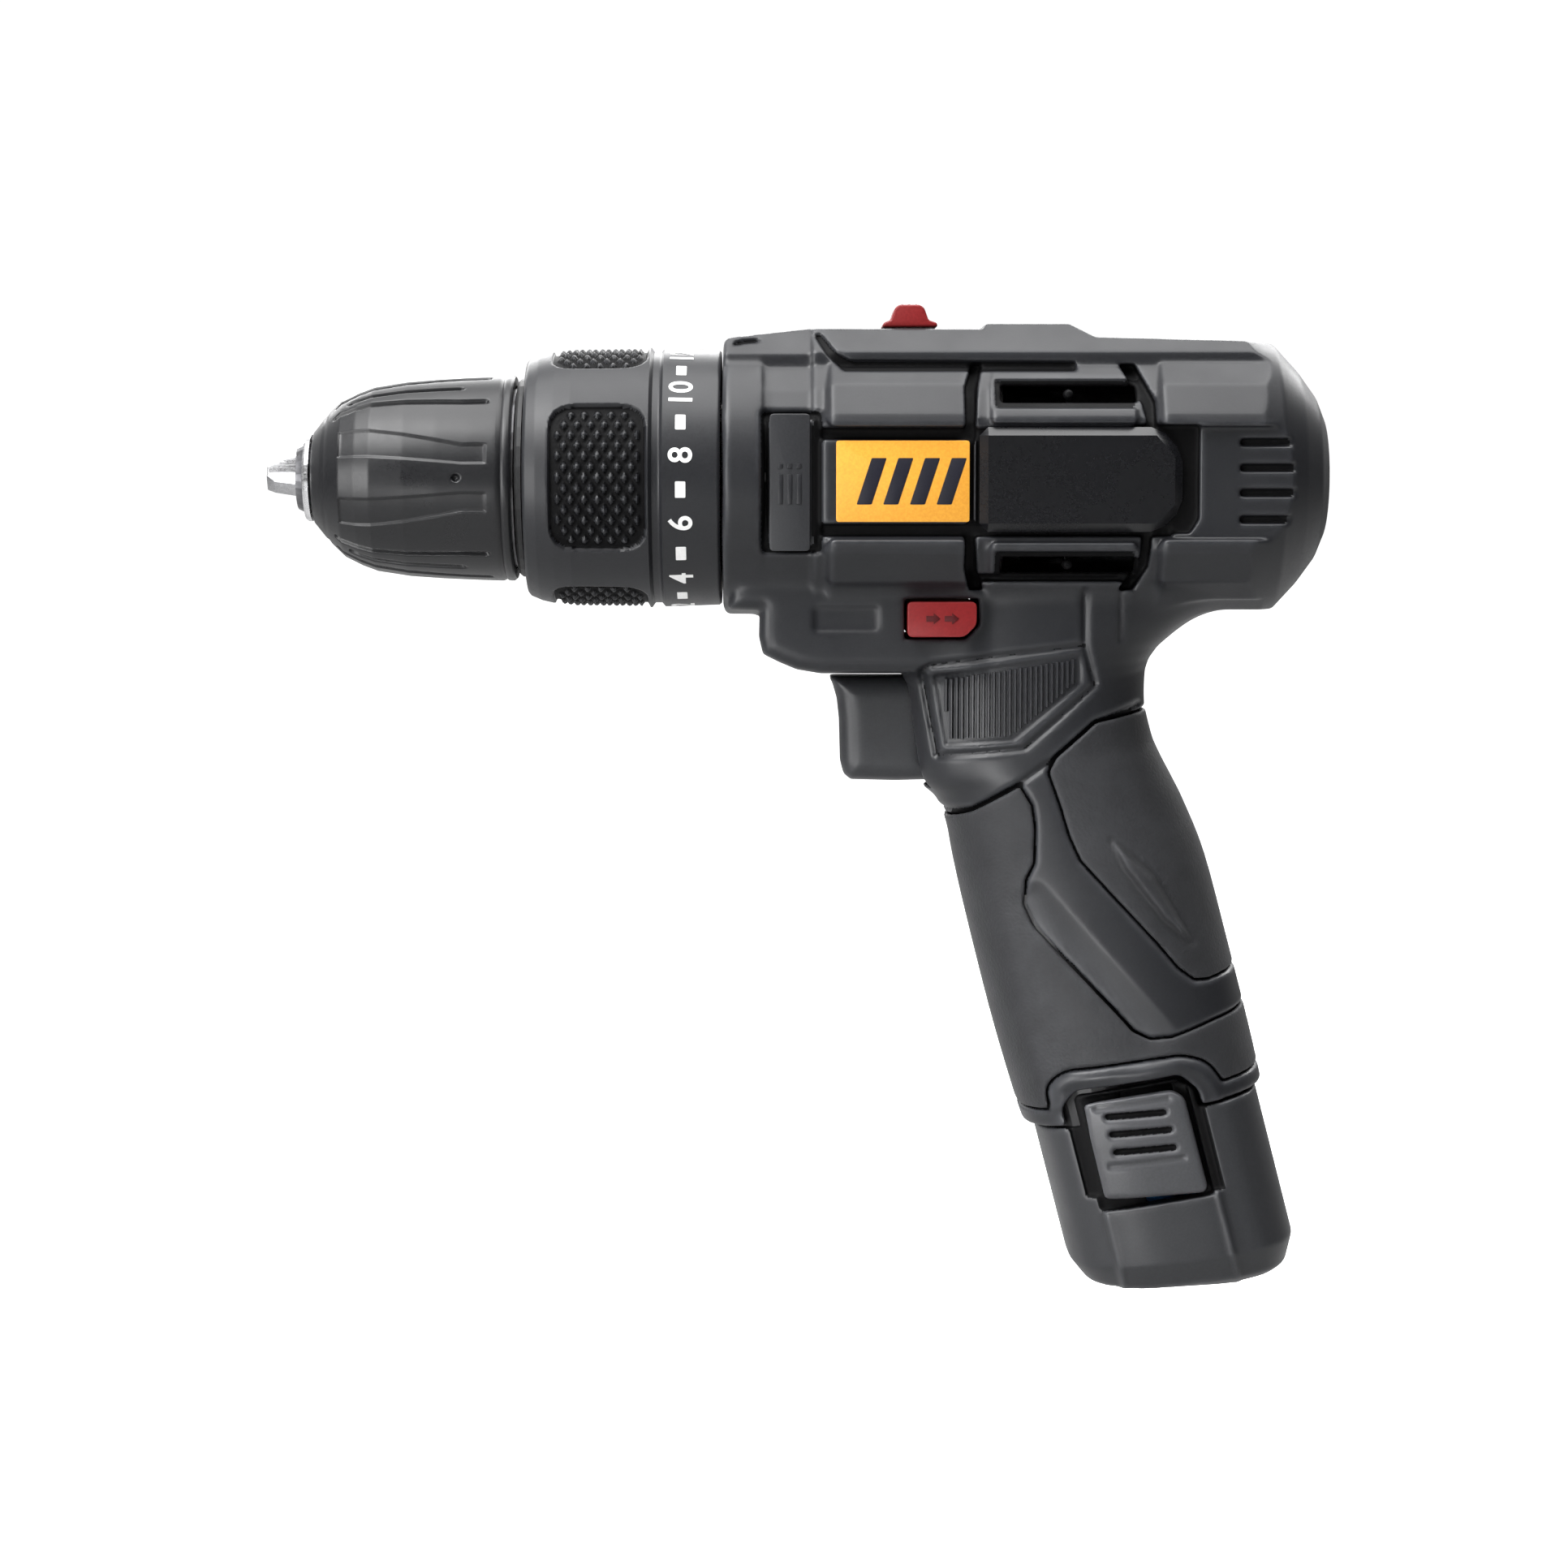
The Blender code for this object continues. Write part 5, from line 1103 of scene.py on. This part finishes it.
def build_battery():
    origin = (-22.3, -24.0, -23.4)
    e, y, s = grid(origin, (22.6, 24.3, 23.4), SIZE)
    side = np.abs(y)
    flank_sd, foot, top = pack_field(e, y, s)
    strip = np.abs(e + 2.3) - 10.2
    flank_sd = flank_sd + 0.5 * step(-strip, 0.25) * step(strip - 3.6, 2.4)
    flank_sd = flank_sd - 0.4 * np.exp(-((strip + 0.2) / 0.45) ** 2)
    case = smax(flank_sd, -foot, 1.6)
    case = np.maximum(case, top)
    tab = poly_sd([(-14.4, 4.0), (8.2, 4.0), (8.2, 17.4), (5.4, 19.9), (-12.2, 21.0), (-14.4, 19.0)], e, s)
    case = np.minimum(case, meet(tab, 18.0 - side, oval(e, y, 20.6, PACK_WIDTH) * 20.6))
    around = poly_sd([(-14.6, 2.9), (-12.9, 2.6), (7.2, -0.9), (8.8, -1.2), (8.8, 23.0), (-14.6, 23.0)], e, s)
    gap = np.maximum(around, -(oval(e, y, PACK_DEPTH, PACK_WIDTH) * PACK_DEPTH + 1.3))
    pocket = poly_sd([(-12.8, 0.0), (7.0, -1.6), (7.0, 19.0), (-12.8, 20.4)], e, s)
    gap = np.minimum(gap, np.maximum(pocket, 19.0 - side))
    room = np.maximum(oval(e, y, 17.6, 18.6) * 17.6, -6.4 - s)
    case = meet(case, -np.maximum(gap, 12.0 - side), -room)
    thing = field_object("battery_shell", blurred(case, 0.75), origin, SIZE, tilted=True)
    # The case takes the housing plastic painted lighter, as painted light.
    piece(thing, "housing_painted_lighter", "battery", "housing", "battery_case")
    # Faces deep in the gap around the latch are painted with shade.
    local = on_stick(thing)
    depth = oval(local[:, 0], local[:, 1], PACK_DEPTH, PACK_WIDTH) * PACK_DEPTH
    darken(thing, (depth < -0.6) & (local[:, 2] > -1.8) & (np.abs(local[:, 1]) > 12.0))

    size = 0.3
    origin = (-14.0, 17.6, -3.0)
    e, y, s = grid(origin, (8.0, 24.0, 21.6), size)
    wedge = 0.3 * np.clip((s - 12.0) / 7.0, 0.0, 1.0) - 0.2
    face = oval(e, y, 20.9, 22.8) * 20.9 + wedge + 0.15
    press = np.maximum(poly_sd(rounded(BUTTON, 0.9), e, s), 20.45 - y)
    grooves = 0.0
    for (a, b), (c, d), depth in (
        ((-7.8, 16.4), (1.9, 14.8), 1.0), ((-7.8, 13.2), (2.2, 11.6), 1.0), ((-7.9, 10.0), (2.1, 8.4), 1.0),
        ((-9.4, 18.3), (3.2, 16.9), 0.35), ((-9.4, 7.7), (3.2, 6.2), 0.35),
    ):
        grooves = np.maximum(grooves, depth * step(line_d([(a, b), (c, d)], e, s) - 0.5, 0.25))
    press = np.maximum(smax(press, face, 1.0), face + grooves)
    for word, side in SIDES:
        thing = field_object(f"latch_button_{word}", blurred(press, 0.8), origin, size, side, tilted=True)
        # The latch buttons take a plastic painted lighter still, as painted light.
        piece(thing, "latch_painted_lighter", f"latch_{word}", "black_plastic", f"battery_latch_{word}")
        # Faces at the bottom of the latch's grooves are painted with shade.
        local = on_stick(thing) * np.array([1.0, side, 1.0])
        sunk = sampled(np.broadcast_to(grooves, face.shape), local, origin, size) > 0.3
        darken(thing, (sampled(face, local, origin, size) < -0.42) & sunk)


build_battery()

# ---------------------------------------------------------------- lens


def build_lens():
    outline = [
        (-100.2, -25.2), (-100.1, -28.0), (-99.2, -30.3), (-97.2, -31.1), (-96.5, -30.9), (-96.5, -25.2),
    ]
    thing = prism("lamp_window", outline, -4.9, 4.9, 0.45, corner=0.5)
    piece(thing, "lens", "frame", "clear", "lamp_lens")


build_lens()

# ---------------------------------------------------------------- clutch collar


def profile(x, points):
    """Radius of a turned outline at x."""
    return np.interp(x, *zip(*points))


def knurl(x, angle):
    """Radial relief of the collar: four recessed pads of raised diamonds."""
    x, angle = np.broadcast_arrays(x, angle)
    total = np.zeros(x.shape)
    quarter = (angle + math.pi / 4.0) % (math.pi / 2.0) - math.pi / 4.0
    arc = quarter * 23.0
    distance = poly_sd(rounded(box(-136.6, -13.4, -119.9, 13.4), 4.6), x, arc)
    total -= 0.9 * step(distance, 0.25)
    best = np.full(x.shape, 9.0)
    for shift in (0.0, 0.5):
        du = ((x + 128.15) / 2.33 - shift + 0.5) % 1.0 - 0.5
        dv = (arc / 3.9 - shift + 0.5) % 1.0 - 0.5
        best = np.minimum(best, np.abs(du) + np.abs(dv))
    diamond = np.clip((0.36 - best) / 0.24, 0.0, 1.0)
    total += 0.72 * diamond * step(distance + 1.1, 0.25)
    return total


collar = cylinder_grid(
    "clutch_collar_shell", COLLAR_OUT,
    [
        (-107.0, 20.5), (-120.0, 20.3), (-138.6, 20.3), (-138.7, 14.0), (-139.3, 13.6), (-140.9, 13.6),
        (-141.3, 14.0),
    ],
    640, 0.26, knurl,
)
piece(collar, "housing", "collar", "housing", "clutch_collar")
# Faces on the floors of the knurled pads are painted with shade.
place = face_centres(collar)
reach = np.hypot(place[:, 1], place[:, 2])
sunk = (reach < profile(place[:, 0], COLLAR_OUT) - 0.62) & (np.abs(place[:, 0] + 128.2) < 8.4)
darken(collar, sunk & (reach > 21.4))


def wrapped_text(name, text, size, centre_x, centre_angle, radius, lift=0.07, bold=0.014):
    """Text that stands on a cylinder about the X axis, read with its top towards the chuck."""
    curve = bpy.data.curves.new(name, "FONT")
    curve.body = text
    curve.align_x = "CENTER"
    curve.align_y = "CENTER"
    curve.size = size
    curve.offset = bold * size
    curve.resolution_u = 6
    thing = linked(name, curve)
    bpy.context.view_layer.update()
    mesh = bpy.data.meshes.new_from_object(thing.evaluated_get(bpy.context.evaluated_depsgraph_get()))
    bpy.data.objects.remove(thing, do_unlink=True)
    shape = bmesh.new()
    shape.from_mesh(mesh)
    bmesh.ops.remove_doubles(shape, verts=shape.verts, dist=1e-4)
    long_edges = [e for e in shape.edges if e.calc_length() > 0.6]
    bmesh.ops.subdivide_edges(shape, edges=long_edges, cuts=3)
    bmesh.ops.triangulate(shape, faces=shape.faces)
    solid = bmesh.ops.extrude_face_region(shape, geom=shape.faces[:])
    raised = {v for v in solid["geom"] if isinstance(v, bmesh.types.BMVert)}
    for vert in shape.verts:
        along, up = vert.co.x, vert.co.y
        angle = centre_angle + along / radius
        reach = profile(centre_x - up, COLLAR_OUT) + (lift if vert in raised else -0.3)
        vert.co = Vector((centre_x - up, -reach * math.cos(angle), reach * math.sin(angle))) * MM
    bmesh.ops.recalc_face_normals(shape, faces=shape.faces)
    return shape_object(name, shape, 30.0)


def wrapped_bar(name, centre_x, angle, radius, long, wide, lift=0.06):
    outline = rounded(box(-wide / 2, -long / 2, wide / 2, long / 2), 0.2)

    def place(a, b, h):
        turn = angle + b / radius
        reach = profile(centre_x + a, COLLAR_OUT) + h
        return Vector((centre_x + a, -reach * math.cos(turn), reach * math.sin(turn)))

    return prism(name, outline, -0.3, lift, place=place)


for number in range(1, 20):
    angle = math.radians(9.9 + (number - 8) * 15.0)
    if number % 2:
        mark = wrapped_bar(f"dash_{number}", -113.8, angle, 22.72, 2.8, 1.8)
    else:
        mark = wrapped_text(f"scale_{number}", str(number), 5.8, -113.6, angle, 22.75)
    piece(mark, "white", "collar", "housing")

# ---------------------------------------------------------------- chuck


def flutes(x, angle):
    """Radial relief of the sleeve: three sectors of narrow grooves, three of shallow flats with a hole."""
    x, angle = np.broadcast_arrays(x, angle)
    total = np.zeros(x.shape)
    radius = profile(x, SLEEVE_OUT)
    third = math.tau / 3.0
    holed = angle % third - third / 2.0
    grooved = (angle + third / 2.0) % third - third / 2.0
    front = np.clip((-152.0 - x) / 22.0, 0.0, 1.0)
    for shift, low, high in ((-13.0, -175.0, -147.6), (0.0, -172.6, -152.1), (13.0, -175.0, -147.6)):
        arc = (grooved - math.radians(shift) * (1.0 - 0.35 * front)) * radius
        beyond = np.maximum(low + 0.5 - x, x - high + 0.5).clip(0.0)
        total = np.minimum(total, -0.8 * step(np.hypot(arc, beyond) - 0.45, 0.3))
    spread = 1.0 + 0.8 * front
    arc = np.abs(np.abs(holed) - math.radians(13.5) * spread) * radius
    flat = np.maximum(arc - math.radians(5.3) * spread * radius, np.maximum(-173.8 - x, x + 147.9))
    total = np.minimum(total, -0.34 * step(flat, 0.22))
    dot = np.hypot(x + 153.0, holed * radius) - 0.62
    total = np.minimum(total, -0.8 * step(dot, 0.25))
    return total - 0.35 * np.exp(-((x + 145.3) / 0.28) ** 2) - 0.25 * np.exp(-((x + 176.9) / 0.3) ** 2)


sleeve = cylinder_grid(
    "chuck_sleeve_shell", SLEEVE_OUT,
    [
        (-143.5, 16.4), (-160.0, 15.9), (-168.0, 14.2), (-172.0, 12.2), (-176.0, 9.2), (-178.6, 6.9),
        (-179.5, 6.9),
    ],
    720, 0.3, flutes,
)
piece(sleeve, "shell_dark", "sleeve", "black_plastic", "chuck_sleeve")


def build_jaws():
    side = [(-187.9, 0.35), (-187.9, 1.9), (-186.4, 3.2), (-163.0, 9.6), (-163.0, 3.8), (-176.0, 0.35)]
    for number in range(3):
        turn = math.radians(90.0 + 120.0 * number)

        def place(a, b, h):
            narrow = 1.0 - 0.35 * min(1.0, max(0.0, (b - 1.0) / 3.0)) if a < -175.0 else 1.0
            h *= narrow
            cos, sin = math.cos(turn), math.sin(turn)
            return Vector((a, b * cos - h * sin, b * sin + h * cos))

        thing = prism(f"jaw_bar_{number + 1}", side, -1.7, 1.7, 0.28, place=place)
        piece(thing, "steel", f"jaw_{number + 1}", "steel", f"chuck_jaw_{number + 1}")


build_jaws()

# ---------------------------------------------------------------- carried-over nodes

CARRIED = {
    "steel": [
        "chuck_nose_ring", "output_spindle", "motor_pinion",
        "clutch_spring", "trigger_spring",
    ],
    "dark_steel": [
        "chuck_body", "chuck_screw", "motor_can", "clutch_plate",
        *(f"housing_screw_{number}" for number in (1, 2, 3, 4)),
    ],
    "sintered": ["shift_ring_gear", "carrier_1", *(
        f"stage_{stage}_planet_{number}" for stage in (1, 2) for number in (1, 2, 3)
    )],
    "bronze": ["spindle_bush_1", "spindle_bush_2"],
    "copper": ["armature"],
    "nylon": ["clutch_adjuster_nut"],
    "inner_black": [
        "chuck_rear_ring", "gearbox_case", "switch_module", "terminal_block", "motor_end_cap", "cooling_fan",
        "battery_tower",
    ],
    "cell": ["battery_cell_1", "battery_cell_2", "battery_cell_3"],
    "board": ["lamp_board"],
}
for kind, names in CARRIED.items():
    for node in names:
        look(NODES[node], kind)

# ---------------------------------------------------------------- stage, light and camera

FLOOR_ROOM = 0.085
FLOOR_REACH = 14.0


def make_stage():
    """A wide round floor below the path of the battery, pale up to the horizon."""
    low = cad_box[0][2] - FLOOR_ROOM
    shape = bmesh.new()
    turns = [math.tau * k / 64 for k in range(64)]
    shape.faces.new([
        shape.verts.new((FLOOR_REACH * math.cos(t), FLOOR_REACH * math.sin(t), low)) for t in turns
    ])
    mesh = bpy.data.meshes.new("studio_floor")
    shape.to_mesh(mesh)
    shape.free()
    floor = linked("studio_floor", mesh)
    material = bpy.data.materials.new("studio paper")
    material.use_nodes = True
    tree = material.node_tree
    shader = tree.nodes["Principled BSDF"]
    place = tree.nodes.new("ShaderNodeTexCoord").outputs["Object"]
    tone = mixed(tree, noise(tree, place, 9.0), (0.93, 0.93, 0.93), (0.96, 0.96, 0.96))
    seen = tree.nodes.new("ShaderNodeLightPath").outputs["Is Camera Ray"]
    tree.links.new(mixed(tree, seen, (0.3, 0.3, 0.3), tone), shader.inputs["Base Color"])
    shader.inputs["Emission Color"].default_value = (1.0, 1.0, 1.0, 1.0)
    tree.links.new(combined(tree, "MULTIPLY", seen, 0.85), shader.inputs["Emission Strength"])
    shader.inputs["Roughness"].default_value = 0.9
    shader.inputs["Specular IOR Level"].default_value = 0.1
    floor.data.materials.append(material)


def area(name, place, target, size, power, spread=180.0):
    light = bpy.data.lights.new(name, "AREA")
    light.shape = "RECTANGLE"
    light.size, light.size_y = size
    light.energy = power
    light.spread = math.radians(spread)
    thing = linked(name, light)
    thing.location = place
    thing.rotation_euler = (Vector(target) - Vector(place)).to_track_quat("-Z", "Y").to_euler()


make_stage()
CENTRE = (-0.0959, 0.0, -0.0548)
area("key", (-0.55, -0.42, 0.62), CENTRE, (0.6, 0.45), 7.5)
area("top", (-0.08, -0.1, 0.78), CENTRE, (1.4, 0.8), 17.0)
area("rim", (0.0, 0.95, 0.55), CENTRE, (1.6, 0.5), 15.0)
area("side", (-0.72, -0.5, -0.02), (-0.05, 0.0, -0.09), (0.35, 0.4), 3.6)
area("low", (-0.22, -0.48, -0.215), (-0.025, 0.0, -0.125), (0.25, 0.2), 0.09, 26.0)


def make_world():
    """White as seen behind the object, and a soft room that is darker near eye level around it."""
    world = bpy.data.worlds.new("studio")
    bpy.context.scene.world = world
    world.use_nodes = True
    tree = world.node_tree
    room = tree.nodes["Background"]
    place = tree.nodes.new("ShaderNodeTexCoord").outputs["Generated"]
    axes = new_node(tree, "ShaderNodeSeparateXYZ", place, "Vector").outputs
    above = ramp(tree, axes["Z"], -0.1, 0.8, 0.1, 0.55)
    behind = ramp(tree, axes["Y"], 0.2, 0.9, 0.0, 0.7)
    rearward = ramp(tree, axes["X"], -0.4, 0.9, 1.0, 0.25)
    tone = combined(tree, "MULTIPLY", combined(tree, "ADD", above, behind), rearward)
    tree.links.new(tone, room.inputs["Color"])
    seen = tree.nodes.new("ShaderNodeBackground")
    seen.inputs["Color"].default_value = (1.0, 1.0, 1.0, 1.0)
    seen.inputs["Strength"].default_value = 1.05
    direct = tree.nodes.new("ShaderNodeLightPath").outputs["Is Camera Ray"]
    pick = new_node(tree, "ShaderNodeMixShader", direct, "Fac")
    tree.links.new(room.outputs["Background"], pick.inputs[1])
    tree.links.new(seen.outputs["Background"], pick.inputs[2])
    tree.links.new(pick.outputs["Shader"], tree.nodes["World Output"].inputs["Surface"])


make_world()

camera = linked("camera", bpy.data.cameras.new("camera"))
camera.data.lens = 85.0
camera.data.sensor_width = 36.0
PITCH = math.radians(4.7)
DISTANCE = 0.665
camera.location = (
    CENTRE[0], CENTRE[1] - DISTANCE * math.cos(PITCH), CENTRE[2] + DISTANCE * math.sin(PITCH),
)
camera.rotation_euler = (math.pi / 2.0 - PITCH, 0.0, 0.0)
bpy.context.scene.camera = camera
bpy.context.scene.view_settings.view_transform = "Standard"
